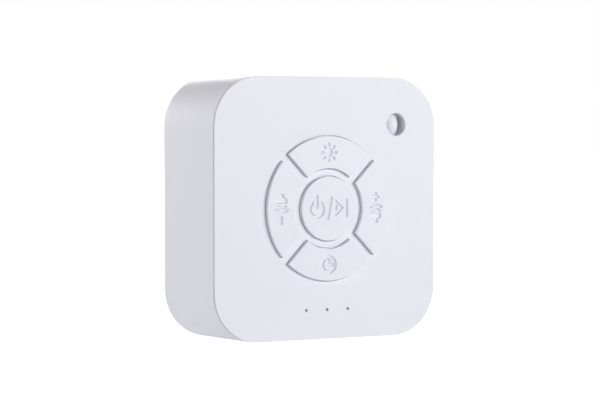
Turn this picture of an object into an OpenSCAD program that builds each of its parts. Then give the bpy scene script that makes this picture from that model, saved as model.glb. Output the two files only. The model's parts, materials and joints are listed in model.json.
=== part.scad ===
// Palm-size white noise sound machine with a five-key front panel.
// Right-handed frame in millimetres: +X to the right as seen from the front, +Y to the
// back, +Z up. The origin is in the middle of the flat bottom side that it stands on.
// A "depth" is measured from the front face of the panel towards the back.

/* [Body] */
// Width of the body
body_w = 100; // [97:1:115]
// Height of the body
body_h = 100; // [98:1:115]
// Depth of the body, without keys and pads
body_d = 38; // [37.5:0.5:46]
// Radius of the four upright corners
corner_r = 19; // [17.5:0.5:22]
// Wall of the housing
wall = 2; // [1.7:0.1:2.3]
// Rounding of the housing's rear edge
back_edge_r = 1.6; // [1:0.1:1.9]

/* [Front panel] */
// Thickness of the front panel
panel_t = 2.4; // [2:0.1:2.8]
// Thickness of the panel's thin outer lip
lip_t = 0.6; // [0.4:0.1:1]
// Groove between the lip and the housing
seam_w = 0.3; // [0.2:0.05:0.5]
// Clearance between the panel's tongue and the housing wall
tongue_gap = 0.2; // [0.1:0.05:0.3]

/* [Keys] */
// Outer radius of the ring of four keys
ring_key_r = 27.35; // [26:0.05:28.5]
// Inner radius of the ring of four keys
ring_key_inner_r = 15.4; // [15:0.05:16.5]
// Radius of the round centre key
centre_key_r = 12.25; // [11.5:0.05:12.6]
// Width of the cross-shaped web between two ring keys
web_w = 2.8; // [2.6:0.1:3.4]
// Clearance around each key
key_gap = 0.35; // [0.25:0.05:0.4]
// Height of the keys above the panel
key_rise = 1.4; // [1:0.1:1.8]
// Travel of each key
key_travel = 0.5; // [0.3:0.05:0.6]
// Width of the flange that holds a key behind the panel
flange_w = 0.7; // [0.5:0.05:0.8]
// Thickness of that flange
flange_t = 1; // [0.8:0.1:1.2]
// Gap between a resting key's flange and the panel
flange_gap = 0.15; // [0.1:0.05:0.2]
// Radius of the post that pushes the switch
key_post_r = 2; // [1.5:0.1:2.5]
// Length of that post
key_post_l = 0.7; // [0.5:0.1:1]

/* [Symbols on the keys] */
// Width of an engraved stroke
stroke_w = 0.9; // [0.6:0.05:1]
// Depth of the engraving
engrave_t = 0.4; // [0.2:0.05:0.6]
// Outer radius of the power symbol
power_symbol_r = 3.45; // [3:0.05:3.6]
// Distance of the ring keys' symbols from the centre of the pattern
symbol_reach = 21.4; // [20.5:0.1:22]
// Outer radius of the sun symbol
sun_r = 3.6; // [3:0.1:4]
// Outer radius of the clock symbol
clock_r = 3.3; // [3:0.1:4]
// Length of a volume key's minus or plus sign
sign_l = 3; // [2.6:0.1:3.2]

/* [Indicators] */
// Height of the row of indicator holes above the bottom
indicator_z = 11.2; // [10.8:0.1:12.5]
// Distance between neighbouring holes
indicator_pitch = 9.45; // [8:0.05:10]
// Radius of an indicator hole
indicator_r = 0.5; // [0.4:0.05:0.7]
// Depth from the panel's face to the light guide in the hole
guide_recess = 1; // [0.6:0.1:1.4]

/* [Strap eyelet] */
// Distance of the eyelet's centre from the right side and from the top
eyelet_inset = 18; // [17.5:0.1:18.8]
// Radius of the eyelet
eyelet_r = 4.1; // [3.8:0.1:4.3]
// Rounding of the eyelet's mouth
mouth_r = 0.5; // [0.3:0.1:0.7]
// Radius of the bar at its middle
bar_r = 2.15; // [1.9:0.05:2.3]
// Depth of the bar's axis behind the panel's face
bar_depth = 2.45; // [2.4:0.05:2.8]
// Radius of the curve that thins the bar towards its ends
bar_crown_r = 24; // [18:1:40]
// Wall of the collar around the eyelet
collar_wall = 1.8; // [1.5:0.1:2]
// Depth of the collar's rear edge
collar_depth = 6; // [5.6:0.1:6.4]
// Depth of the strap cup's floor
cup_depth = 8; // [7.8:0.1:8.6]
// Wall of the strap cup
cup_wall = 1.1; // [0.9:0.1:1.2]

/* [Night light] */
// Length of the lamp window
window_l = 34; // [26:1:38]
// Width of the lamp window
window_w = 9; // [7:0.5:10]
// Depth of the lamp window's middle
window_depth = 20; // [19:0.5:21]
// Width of the window's glued flange
window_flange = 1.3; // [1:0.1:1.6]
// Drop of the lamp shelf's top below the inside of the housing
shelf_drop = 6.9; // [6.5:0.1:7.5]
// Thickness of the lamp shelf
shelf_t = 1.5; // [1.2:0.1:2]

/* [Loudspeaker] */
// Outer radius of the speaker frame
speaker_r = 25; // [24:0.5:25.5]
// Height of the speaker's axis above the bottom
speaker_z = 50; // [49:0.5:51]
// Depth of the speaker frame from its flange to the magnet
basket_h = 9; // [8.5:0.1:9.5]
// Radius of the magnet
magnet_r = 15; // [13:0.5:16]
// Thickness of the magnet
magnet_t = 4.5; // [4:0.1:5]
// Thickness of the yoke's plate and of the pole plate
yoke_t = 2.2; // [2:0.1:2.4]
// Outer radius of the voice coil
coil_r = 5.5; // [5:0.1:6]
// Travel of the cone each way
cone_travel = 1; // [0.8:0.1:1.2]
// Radius of a grille hole
grille_hole_r = 0.9; // [0.7:0.05:1]
// Distance between neighbouring rings of grille holes
grille_pitch = 3.1; // [2.9:0.1:3.2]
// Number of rings of grille holes around the middle one
grille_rings = 6; // [4:1:6]

/* [Battery] */
// Radius of the wrapped cell
cell_r = 9.15; // [9:0.05:9.3]
// Room between each end of the cell and the screw tubes
cell_end_room = 4.2; // [3.9:0.1:5]
// Height of the cell's axis above the bottom
cell_z = 12.6; // [12.4:0.1:13]
// Depth of the cell's axis
cell_depth = 25; // [24:0.5:26]

/* [Circuit boards] */
// Thickness of the circuit boards
board_t = 1.2; // [1:0.1:1.6]
// Depth of the key board's front face
key_board_depth = 8.3; // [8.1:0.1:8.6]
// Width of the key board
key_board_w = 52; // [50:0.5:54]
// Depth of the main board's front face
main_board_depth = 20; // [19.5:0.1:20.5]
// Width of the main board
main_board_w = 22.7; // [22:0.1:23.4]
// Height of the main board
main_board_h = 48; // [47:0.5:52]
// Side of a push switch's body
switch_side = 6; // [5.5:0.1:6.5]
// Radius of a switch stem
stem_r = 1.75; // [1.5:0.05:2]

/* [Charging inlet] */
// Width of the inlet's metal shell
usb_w = 9; // [8.9:0.05:9.1]
// Thickness of the inlet's metal shell
usb_t = 3.2; // [3.1:0.05:3.3]
// Length of the inlet's metal shell
usb_l = 7.35; // [7:0.05:8]
// Height of the inlet's middle above the bottom
usb_z = 37; // [36.5:0.1:38]

/* [Fasteners and pads] */
// Distance of the case screws from the sides
case_screw_inset = 9.8; // [9.6:0.1:10.2]
// Radius of a case screw's shank
case_screw_r = 1; // [0.9:0.05:1.1]
// Radius of a board screw's shank
board_screw_r = 0.8; // [0.7:0.05:0.9]
// Radius of a speaker screw's wide head
speaker_screw_head_r = 3.4; // [3.3:0.1:3.6]
// Radius of a rubber pad
pad_r = 3.85; // [3.6:0.05:3.9]
// Thickness of a rubber pad
pad_t = 1.2; // [1:0.1:1.5]
// Height of a rubber pad above the back
pad_rise = 0.4; // [0.2:0.1:0.6]

/* [Clearances] */
// Clearance of a sliding or dropped-in piece, on each side
slip = 0.15; // [0.1:0.05:0.2]
// Clearance of a screw's shank in its pilot hole
pilot_gap = 0.05; // [0.03:0.01:0.08]
// Radial clearance of a switch stem
stem_gap = 0.1; // [0.08:0.01:0.15]
// Gap left between two pieces that are not meant to touch
free_gap = 0.3; // [0.2:0.05:0.4]
// Radial clearance of a screw's shank in a through hole
through_gap = 0.2; // [0.15:0.05:0.3]

/* [Hidden] */
$fn = 96;
overlap = 0.01;
front_y = -body_d / 2;
back_depth = body_d - wall;
pattern_z = body_h / 2;

// Keys and switches
key_back = panel_t + flange_gap + flange_t;
post_end = key_back + key_post_l;
switch_front = post_end + key_travel + free_gap;
stem_inside = 0.9;
stem_end = switch_front + stem_inside;
stem_bore_end = stem_end + key_travel + free_gap / 2;
RING_TURNS = [90, 180, 270, 0];

// Strap eyelet
eyelet_x = body_w / 2 - eyelet_inset;
eyelet_z = body_h - eyelet_inset;
collar_r = eyelet_r + collar_wall;
cup_inner_r = collar_r + slip;
cup_r = cup_inner_r + cup_wall;
cup_floor_t = 1;
bar_half = eyelet_r + collar_wall / 2;

// Fasteners
screw_x = body_w / 2 - case_screw_inset;
CASE_SCREWS = [for (x = [-screw_x, screw_x], z = [case_screw_inset, body_h - case_screw_inset]) [x, z]];
case_seat_depth = 24.5;
case_web_t = 2.5;
case_head_r = 2.1;
case_head_t = 1.5;
case_screw_l = 12.5;
tube_r = 3.5;
post_r = 2.8;
post_end_depth = case_seat_depth - case_web_t - free_gap;
pad_seat_depth = body_d + pad_rise - pad_t;
board_head_r = 1.9;
board_head_t = 1.1;
board_screw_l = 6;
boss_r = 2.4;

// Key board
key_board_margin = 3.9;
key_board_low = indicator_z - key_board_margin;
key_board_high = eyelet_z + 1;
key_board_left = -key_board_w / 2;
beside_cup = min(eyelet_x - cup_r - board_head_r - 1.5, -key_board_left - key_board_margin);
KEY_BOARD_SCREWS = [
    [key_board_left + key_board_margin, key_board_high - 3],
    [beside_cup, key_board_high - 3],
    [key_board_left + key_board_margin, indicator_z],
    [-key_board_left - key_board_margin, indicator_z]
];
key_board_back = key_board_depth + board_t;

// Light guide and indicator lamps
led_t = 0.8;
guide_plate_t = 1;
guide_back = panel_t + guide_plate_t;
guide_post_end = key_board_depth - led_t - free_gap / 2;
guide_slack = 0.08;
guide_post_r = 1.3;
guide_plate = [2 * indicator_pitch + 5, 4];
INDICATORS = [for (i = [-1, 0, 1]) [i * indicator_pitch, indicator_z]];

// Loudspeaker, with heights measured from the inside of the housing's back
cloth_t = 0.4;
cone_t = 0.4;
gasket_t = cloth_t + cone_travel + 2 * free_gap;
frame_t = 1;
flange_front = gasket_t + frame_t;
basket_window = [4.6, 12, basket_h - 4.4];
lug = [4.6, 10, frame_t];
terminal_t = 0.8;
surround_r = speaker_r - 3.5;
surround_w = 3;
surround_lip = 1.2;
surround_t = 0.3;
cone_edge_r = surround_r - surround_w;
basket_end = flange_front + basket_h - frame_t;
plate_end = basket_end + yoke_t;
magnet_end = plate_end + magnet_t;
plate_r = magnet_r - 0.5;
coil_t = 0.4;
coil_start = basket_end - 3;
coil_end = plate_end + 1.2;
cone_neck_h = coil_start + 1.2;
cone_edge_h = gasket_t + cone_t;
dust_cap_dome_r = 9;
spider_t = 0.4;
speaker_boss_r = 2.4;
speaker_boss = speaker_r + speaker_boss_r + 0.2;
SPEAKER_SCREWS = [for (a = [45 : 90 : 315]) [speaker_boss * cos(a), speaker_z + speaker_boss * sin(a)]];
speaker_head_t = 1.2;
speaker_screw_l = flange_front + wall / 2 - free_gap;

// Main board
main_board_right = body_w / 2 - wall - 0.8;
main_board_left = main_board_right - main_board_w;
main_board_low = usb_z - 11;
main_board_high = main_board_low + main_board_h;
main_board_back = main_board_depth + board_t;
main_board_margin = [3.8, 3.5];
MAIN_BOARD_SCREWS = [
    [main_board_left + main_board_margin[0], main_board_low + main_board_margin[1]],
    [main_board_left + main_board_margin[0], main_board_high - main_board_margin[1]],
    [main_board_right - main_board_margin[0], usb_z + 10],
    [main_board_right - main_board_margin[0], main_board_high - main_board_margin[1]]
];
small_chip = [5, 4];
CHIPS = [
    [[14, 30], [6, 10], 1.8], [[14, 20.3], small_chip, 1.5],
    [[13, 39], small_chip, 1.5], [[11, 9.6], [4, 5], 1.5]
];
CAPACITORS = [[19.6, 27.5], [14, 14.9]];
INDUCTOR = [[main_board_w - 3.4, 34], [4, 4], 2];
LEAD_SOCKETS = [[14, 3.4], [5, 16], [12, 44.5]];
capacitor_r = 2.5;
capacitor_h = 6;
lead_socket_size = [6, 3.6];
lead_socket_h = 4.5;
usb_shell_t = 0.3;
usb_floor_t = 1;
usb_tongue_size = [0.7, 6.6];
usb_mouth = body_w / 2 - 0.3;
usb_depth = main_board_depth - usb_t / 2;

// Night light
ceiling_z = body_h - wall;
shelf_z = ceiling_z - shelf_drop;
window_flange_t = 1.2;
shelf_w = window_l + 8;
shelf_front = window_depth - 8;
lamp_board_size = [shelf_w - 4, 14];
lamp_board_t = 1;
lamp_led = [3.5, 2.8];
lamp_led_t = 0.8;

// Battery
cell_l = 2 * (screw_x - tube_r - cell_end_room);
cradle_x = cell_l / 2 - 10;
cradle_t = 2;
pad_foam_t = 0.3;
guard_t = 1;

// Ribbon and its sockets, in the X-depth plane
socket_t = 2;
socket_l = 3;
ribbon_w = 10;
ribbon_t = 0.3;
ribbon_bend = 2;
ribbon_low = pattern_z + 2;
ribbon_from = [key_board_w / 2 - 2, key_board_back + socket_t / 2];
ribbon_to = [main_board_left + 4.5, main_board_depth - socket_t / 2];

// Insulated wires
wire_r = 0.6;
wire_side = 0.7;
cell_lead_out = 1.5;
cell_lead_rise = [4, 9];
wire_seat = wire_r + 0.1;
socket_face = main_board_depth - lead_socket_h - wire_seat;

// ---------------------------------------------------------------- helpers

// Extrudes a front-view outline (X, Z) from one depth to another.
module plate(from, to) {
    translate([0, front_y + to, 0]) rotate([90, 0, 0]) linear_extrude(to - from) children();
}

// A round bar along Y at x, z, from one depth to another.
module peg(at, r, from, to) {
    plate(from, to) translate(at) circle(r);
}

// Turned pieces of the loudspeaker: local z is the height above the inside of the back.
module on_speaker_axis() {
    translate([0, front_y + back_depth, speaker_z]) rotate([90, 0, 0]) children();
}

module ring(outer, inner) {
    difference() {
        circle(outer);
        circle(inner);
    }
}

module rounded_rect(w, h, r) {
    square([w - 2 * r, h], center = true);
    square([w, h - 2 * r], center = true);
    for (x = [-1, 1], y = [-1, 1]) translate([x * (w / 2 - r), y * (h / 2 - r)]) circle(r);
}

// The body's front-view outline, drawn in by some distance.
module body_outline(inset) {
    translate([0, body_h / 2]) rounded_rect(body_w - 2 * inset, body_h - 2 * inset, corner_r - inset);
}

// Section of the shell's rim: reach outwards by depth, its far outer corner rounded.
module rim_section(reach, depth, r) {
    square([reach, depth - r]);
    square([reach - r, depth]);
    translate([reach - r, depth - r]) circle(r);
}

// A full block with the body's outline whose rear edge is rounded.
module round_backed_block(inset, from, to, r) {
    reach = corner_r - inset;
    x = body_w / 2 - corner_r;
    z = body_h / 2 - corner_r;
    translate([0, front_y + from, body_h / 2]) rotate([-90, 0, 0]) {
        for (turn = [0 : 3]) {
            side = turn % 2 == 0 ? [x, z] : [z, x];
            rotate(turn * 90) {
                translate([side[0], side[1], 0]) rotate_extrude(angle = 90)
                    rim_section(reach, to - from, r);
                translate([side[0], side[1], 0]) rotate([90, 0, 0])
                    linear_extrude(2 * side[1]) rim_section(reach, to - from, r);
            }
        }
        translate([-x, -z, 0]) cube([2 * x, 2 * z, to - from]);
    }
}

// A run of insulated wire through its corner points.
module wire_run(points, r) {
    for (i = [0 : len(points) - 2]) hull() {
        translate(points[i]) sphere(r, $fn = 10);
        translate(points[i + 1]) sphere(r, $fn = 10);
    }
}

// A point given by x, depth and z.
function at_depth(x, depth, z) = [x, front_y + depth, z];

// ---------------------------------------------------------------- key outlines

// Half plane pair that keeps one quarter of the ring, pulled back from the diagonals.
module quarter(turn, half_web) {
    reach = 2 * ring_key_r;
    shift = half_web * sqrt(2);
    rotate(turn) polygon([[shift, 0], [shift + reach, -reach], [shift + reach, reach]]);
}

// A ring key's outline, grown by some distance on every side.
module ring_key_outline(turn, grow) {
    intersection() {
        ring(ring_key_r + grow, ring_key_inner_r - grow);
        quarter(turn, web_w / 2 + key_gap - grow);
    }
}

module at_pattern() {
    translate([0, pattern_z]) children();
}

// ---------------------------------------------------------------- symbols

module stroke(from, to) {
    run = to - from;
    translate(from) rotate(atan2(run[1], run[0])) translate([0, -stroke_w / 2])
        square([norm(run), stroke_w]);
}

// Outlined triangle that points to the right.
module next_arrow(l, half_h) {
    slope = norm([l, half_h]) / l;
    inner_half = half_h - stroke_w * slope - stroke_w * half_h / l;
    difference() {
        polygon([[0, -half_h], [l, 0], [0, half_h]]);
        polygon([[stroke_w, -inner_half], [stroke_w + inner_half * l / half_h, 0], [stroke_w, inner_half]]);
    }
}

// Power symbol, slash and next symbol, side by side.
module power_symbol() {
    translate([-5.2, -0.5]) {
        difference() {
            ring(power_symbol_r, power_symbol_r - stroke_w);
            translate([-1.7, 1.2]) square([3.4, power_symbol_r]);
        }
        translate([-stroke_w / 2, power_symbol_r * 0.2]) square([stroke_w, power_symbol_r * 1.4]);
    }
    stroke([-0.7, -4.5], [1.2, 4.1]);
    translate([2.8, 0]) next_arrow(3.7, 3.2);
    translate([7.7, -3.5]) square([stroke_w, 7]);
}

module sun_symbol() {
    line_w = stroke_w * 0.7;
    ring(sun_r * 0.42, sun_r * 0.42 - line_w);
    for (a = [0 : 45 : 315]) rotate(a) translate([sun_r * 0.62, -line_w / 2])
        square([sun_r * 0.38, line_w]);
}

module clock_symbol() {
    ring(clock_r, clock_r - stroke_w);
    translate([-stroke_w / 2, 0]) square([stroke_w, clock_r * 0.62]);
    translate([-stroke_w / 2, -stroke_w / 2]) square([clock_r * 0.62, stroke_w]);
}

// Loudspeaker sign with two sound waves, its mouth to the right.
module sound_symbol() {
    line_w = stroke_w * 0.7;
    translate([-1.4, -0.9]) square([1.4, 1.8]);
    polygon([[0, -0.9], [0, 0.9], [1.6, 2.2], [1.6, -2.2]]);
    for (r = [3.2, 4.6]) intersection() {
        ring(r, r - line_w);
        polygon([[0, 0], [6, -4.2], [6, 4.2]]);
    }
}

// Loudspeaker sign followed by a minus, or by a plus.
module volume_symbol(plus) {
    translate([-4, 0]) sound_symbol();
    translate([4, 0]) {
        square([sign_l, stroke_w], center = true);
        if (plus) square([stroke_w, sign_l], center = true);
    }
}

// ---------------------------------------------------------------- case

module eyelet_mouth() {
    translate([eyelet_x, front_y, eyelet_z]) rotate([-90, 0, 0]) rotate_extrude() difference() {
        translate([0, -overlap]) square([eyelet_r + mouth_r, mouth_r + overlap]);
        translate([eyelet_r + mouth_r, mouth_r]) circle(mouth_r);
    }
}

// Crossbar of the eyelet, slightly thinner towards its ends.
module eyelet_bar() {
    translate([eyelet_x, front_y + bar_depth, eyelet_z]) rotate_extrude() intersection() {
        translate([0, -bar_half]) square([bar_r, 2 * bar_half]);
        translate([bar_r - bar_crown_r, 0]) circle(bar_crown_r);
    }
}

module front_panel() {
    color("#e9e9f0") difference() {
        union() {
            plate(0, lip_t) body_outline(0);
            plate(lip_t - overlap, panel_t) body_outline(wall + tongue_gap);
            peg([eyelet_x, eyelet_z], collar_r, panel_t - overlap, collar_depth);
            for (p = CASE_SCREWS) peg(p, post_r, panel_t - overlap, post_end_depth);
            for (p = KEY_BOARD_SCREWS) peg(p, boss_r, panel_t - overlap, key_board_depth);
        }
        for (turn = RING_TURNS)
            plate(-1, panel_t + 1) at_pattern() ring_key_outline(turn, key_gap);
        peg([0, pattern_z], centre_key_r + key_gap, -1, panel_t + 1);
        for (p = INDICATORS) peg(p, indicator_r, -1, panel_t + 1);
        peg([eyelet_x, eyelet_z], eyelet_r, -1, collar_depth + 1);
        eyelet_mouth();
        for (p = CASE_SCREWS)
            peg(p, case_screw_r + pilot_gap, case_seat_depth - case_screw_l - 1, post_end_depth + 1);
        for (p = KEY_BOARD_SCREWS)
            peg(p, board_screw_r + pilot_gap, key_board_back - board_screw_l - free_gap, key_board_depth + 1);
    }
    color("#e9e9f0") eyelet_bar();
}

module grille_holes() {
    for (k = [0 : grille_rings], i = [0 : max(6 * k, 1) - 1]) {
        a = i * 60 / max(k, 1);
        peg([k * grille_pitch * sin(a), speaker_z + k * grille_pitch * cos(a)],
            grille_hole_r, back_depth - 1, body_d + 1);
    }
}

module pill(l, w) {
    square([l - w, w], center = true);
    for (x = [-1, 1]) translate([x * (l - w) / 2, 0]) circle(w / 2);
}

// Extrudes a top-view outline of the lamp window from one height to another.
module over_lamp(from, to) {
    translate([0, front_y + window_depth, from]) linear_extrude(to - from) children();
}

module cradle_ribs() {
    for (x = [-cradle_x, cradle_x]) translate([x - cradle_t / 2, 0, 0]) difference() {
        translate([0, front_y + cell_depth, wall - overlap])
            cube([cradle_t, back_depth - cell_depth + overlap, cell_z + cell_r - wall]);
        translate([-1, front_y + cell_depth, cell_z]) rotate([0, 90, 0])
            cylinder(r = cell_r + pad_foam_t, h = cradle_t + 2);
    }
}

module housing() {
    color("#e4e4ec") difference() {
        union() {
            difference() {
                round_backed_block(0, lip_t + seam_w, body_d, back_edge_r);
                plate(-1, back_depth) body_outline(wall);
            }
            for (p = CASE_SCREWS) peg(p, tube_r, case_seat_depth - case_web_t, back_depth + overlap);
            for (p = SPEAKER_SCREWS) peg(p, speaker_boss_r, back_depth - flange_front, back_depth + overlap);
            for (p = MAIN_BOARD_SCREWS) peg(p, boss_r, main_board_back, back_depth + overlap);
            translate([-shelf_w / 2, front_y + shelf_front, shelf_z - shelf_t])
                cube([shelf_w, back_depth - shelf_front + overlap, shelf_t]);
            cradle_ribs();
        }
        for (p = CASE_SCREWS) {
            peg(p, case_head_r + free_gap, case_seat_depth, body_d + 1);
            peg(p, case_screw_r + through_gap, case_seat_depth - case_web_t - 1, case_seat_depth + 1);
            peg(p, pad_r + slip, pad_seat_depth, body_d + 1);
        }
        for (p = SPEAKER_SCREWS)
            peg(p, board_screw_r + pilot_gap, back_depth - flange_front - 1, back_depth + wall / 2);
        for (p = MAIN_BOARD_SCREWS)
            peg(p, board_screw_r + pilot_gap, main_board_back - 1,
                main_board_depth + board_screw_l + free_gap);
        grille_holes();
        over_lamp(ceiling_z - 1, body_h + 1) pill(window_l, window_w);
        translate([body_w / 2 - wall - 1, front_y + usb_depth, usb_z]) rotate([90, 0, 90])
            linear_extrude(wall + 2) usb_profile(slip);
    }
}

module strap_cup() {
    color("#dcdce4") difference() {
        peg([eyelet_x, eyelet_z], cup_r, panel_t, cup_depth + cup_floor_t);
        peg([eyelet_x, eyelet_z], cup_inner_r, panel_t - 1, collar_depth);
        peg([eyelet_x, eyelet_z], eyelet_r, collar_depth - 1, cup_depth);
    }
}

module indicator_guide() {
    color("#9a9aa4") {
        plate(panel_t, guide_back) translate([0, indicator_z])
            square(guide_plate, center = true);
        for (p = INDICATORS) {
            peg(p, indicator_r - guide_slack, guide_recess, panel_t + overlap);
            peg(p, guide_post_r, guide_back - overlap, guide_post_end);
        }
    }
}

module lamp_window() {
    color("#f4ead8") {
        over_lamp(ceiling_z - overlap, body_h) pill(window_l - 2 * slip, window_w - 2 * slip);
        over_lamp(ceiling_z - window_flange_t, ceiling_z)
            pill(window_l + 2 * window_flange, window_w + 2 * window_flange);
    }
}

module foot_pads() {
    color("#c9c9cf") for (p = CASE_SCREWS) peg(p, pad_r, pad_seat_depth, body_d + pad_rise);
}

// ---------------------------------------------------------------- keys

// A ring key with its flange, its switch post and one symbol, the key turned by turn.
module ring_key(turn) {
    reach = [symbol_reach * cos(turn), symbol_reach * sin(turn)];
    difference() {
        union() {
            plate(-key_rise, key_back) at_pattern() ring_key_outline(turn, 0);
            plate(key_back - flange_t, key_back) at_pattern()
                ring_key_outline(turn, key_gap + flange_w);
            peg([reach[0], pattern_z + reach[1]], key_post_r, key_back - overlap, post_end);
        }
        plate(-key_rise - 1, engrave_t - key_rise) translate([reach[0], pattern_z + reach[1]]) children();
    }
}

module power_key() {
    color("#e7e7f0") difference() {
        union() {
            peg([0, pattern_z], centre_key_r, -key_rise, key_back);
            peg([0, pattern_z], centre_key_r + key_gap + flange_w, key_back - flange_t, key_back);
            peg([0, pattern_z], key_post_r, key_back - overlap, post_end);
        }
        plate(-key_rise - 1, engrave_t - key_rise) at_pattern() power_symbol();
    }
}

module light_key() { color("#e7e7f0") ring_key(90) sun_symbol(); }
module timer_key() { color("#e7e7f0") ring_key(270) clock_symbol(); }
module volume_down_key() { color("#e7e7f0") ring_key(180) rotate(-90) volume_symbol(false); }
module volume_up_key() { color("#e7e7f0") ring_key(0) rotate(90) volume_symbol(true); }

// Where a key's switch sits: the centre, or out on the ring at an angle.
function switch_at(turn, reach) = [reach * cos(turn), pattern_z + reach * sin(turn)];
SWITCHES = concat([switch_at(0, 0)], [for (turn = RING_TURNS) switch_at(turn, symbol_reach)]);

module stem(at) {
    color("#2b2b2e") peg(at, stem_r, post_end, stem_end);
}

module power_stem() { stem(SWITCHES[0]); }
module light_stem() { stem(SWITCHES[1]); }
module volume_down_stem() { stem(SWITCHES[2]); }
module timer_stem() { stem(SWITCHES[3]); }
module volume_up_stem() { stem(SWITCHES[4]); }

module switch_bodies() {
    color("#3a3a3e") for (p = SWITCHES) difference() {
        plate(switch_front, key_board_depth) translate(p) square(switch_side, center = true);
        peg(p, stem_r + stem_gap, switch_front - 1, stem_bore_end);
    }
}

// ---------------------------------------------------------------- key board

module key_board() {
    color("#1f6b3a") difference() {
        plate(key_board_depth, key_board_back) translate([key_board_left, key_board_low])
            square([key_board_w, key_board_high - key_board_low]);
        peg([eyelet_x, eyelet_z], cup_r + free_gap, key_board_depth - 1, key_board_back + 1);
        for (p = KEY_BOARD_SCREWS)
            peg(p, board_screw_r + through_gap, key_board_depth - 1, key_board_back + 1);
    }
}

module indicator_leds() {
    color("#f2e6b8") for (p = INDICATORS)
        plate(key_board_depth - led_t, key_board_depth) translate(p) square([2, 1.2], center = true);
}

// Extrudes an X-depth outline upwards.
module across_x(low, height) {
    translate([0, front_y, low]) linear_extrude(height) children();
}

module key_ribbon() {
    bend = ribbon_bend;
    h = ribbon_t / 2;
    color("#e8e4d8") across_x(ribbon_low, ribbon_w) polygon([
        ribbon_from + [0, -h], ribbon_from + [bend + h, -h], ribbon_to + [-bend + h, -h], ribbon_to + [0, -h],
        ribbon_to + [0, h], ribbon_to + [-bend - h, h], ribbon_from + [bend - h, h], ribbon_from + [0, h]
    ]);
}

module ribbon_sockets() {
    color("#f0ede2") across_x(ribbon_low - 1, ribbon_w + 2) {
        translate([ribbon_from[0] - socket_l, key_board_back]) square([socket_l, socket_t]);
        translate([ribbon_to[0], main_board_depth - socket_t]) square([socket_l, socket_t]);
    }
}

// ---------------------------------------------------------------- main board

module main_board() {
    color("#1f6b3a") difference() {
        plate(main_board_depth, main_board_back) translate([main_board_left, main_board_low])
            square([main_board_w, main_board_h]);
        for (p = MAIN_BOARD_SCREWS)
            peg(p, board_screw_r + through_gap, main_board_depth - 1, main_board_back + 1);
    }
}

// A box on the front of the main board: middle from the board's lower left corner, size, height.
module on_main_board(middle, size, height) {
    plate(main_board_depth - height, main_board_depth)
        translate([main_board_left + middle[0], main_board_low + middle[1]]) square(size, center = true);
}

module board_chips() {
    color("#222226") for (c = CHIPS) on_main_board(c[0], c[1], c[2]);
}

module board_capacitors() {
    color("#3b3f4a") for (p = CAPACITORS)
        peg([main_board_left + p[0], main_board_low + p[1]], capacitor_r,
            main_board_depth - capacitor_h, main_board_depth);
}

module board_inductor() {
    color("#4a4a4a") on_main_board(INDUCTOR[0], INDUCTOR[1], INDUCTOR[2]);
}

module lead_sockets() {
    color("#f0ede2") for (p = LEAD_SOCKETS) on_main_board(p, lead_socket_size, lead_socket_h);
}

module usb_profile(grow) {
    rotate(90) pill(usb_w + 2 * grow, usb_t + 2 * grow);
}

module usb_shell() {
    color("#b9bbbe") translate([usb_mouth - usb_l, front_y + usb_depth, usb_z]) rotate([90, 0, 90])
        difference() {
            linear_extrude(usb_l) usb_profile(0);
            translate([0, 0, usb_floor_t]) linear_extrude(usb_l) usb_profile(-usb_shell_t);
        }
}

module usb_tongue() {
    start = usb_mouth - usb_l + usb_floor_t;
    color("#26262a") translate([start, front_y + usb_depth, usb_z]) rotate([90, 0, 90])
        linear_extrude(usb_l - usb_floor_t - 0.8) square(usb_tongue_size, center = true);
}

// ---------------------------------------------------------------- night light

module lamp_board() {
    color("#f2f2f2") over_lamp(shelf_z, shelf_z + lamp_board_t) square(lamp_board_size, center = true);
}

module lamp_leds() {
    base = shelf_z + lamp_board_t;
    color("#f6dd85") over_lamp(base, base + lamp_led_t) for (i = [-1.5 : 1 : 1.5])
        translate([i * window_l / 4, 0]) square(lamp_led, center = true);
}

// ---------------------------------------------------------------- battery

module along_cell(from, to) {
    translate([from, front_y + cell_depth, cell_z]) rotate([0, 90, 0]) linear_extrude(to - from) children();
}

module battery_cell() {
    color("#3f7fbf") along_cell(-cell_l / 2, cell_l / 2) circle(cell_r);
}

module battery_guard() {
    color("#1f6b3a") along_cell(cell_l / 2, cell_l / 2 + guard_t) circle(cell_r - 1);
}

// Foam that beds the cell in each cradle rib.
module battery_pads() {
    color("#d8d8d8") for (x = [-cradle_x, cradle_x]) intersection() {
        along_cell(x - cradle_t / 2, x + cradle_t / 2) ring(cell_r + pad_foam_t, cell_r);
        translate([x - cradle_t, front_y + cell_depth, 0]) cube([2 * cradle_t, body_d, body_h]);
    }
}

// ---------------------------------------------------------------- loudspeaker

// Basket with four windows and a lug for the terminal strip.
module speaker_frame() {
    color("#35363a") on_speaker_axis() {
        difference() {
            rotate_extrude() polygon([
                [surround_r, gasket_t], [speaker_r, gasket_t], [speaker_r, flange_front],
                [surround_r + 1, flange_front], [magnet_r + 0.6, basket_end],
                [coil_r + 1.2, basket_end], [coil_r + 1.2, basket_end - frame_t],
                [magnet_r - 0.2, basket_end - frame_t], [surround_r, flange_front]
            ]);
            for (a = [0 : 90 : 270]) rotate(a)
                translate([magnet_r + 1.4, -basket_window[1] / 2, flange_front + 1.2]) cube(basket_window);
        }
        translate([magnet_r - 0.6, -lug[1] / 2, basket_end - frame_t]) cube(lug);
    }
}

module speaker_pole_plate() {
    color("#8d8f93") on_speaker_axis() translate([0, 0, basket_end])
        linear_extrude(yoke_t) ring(plate_r, coil_r + free_gap);
}

module speaker_magnet() {
    color("#3a3a3c") on_speaker_axis() translate([0, 0, plate_end])
        linear_extrude(magnet_t) ring(magnet_r, coil_r + 3);
}

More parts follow.
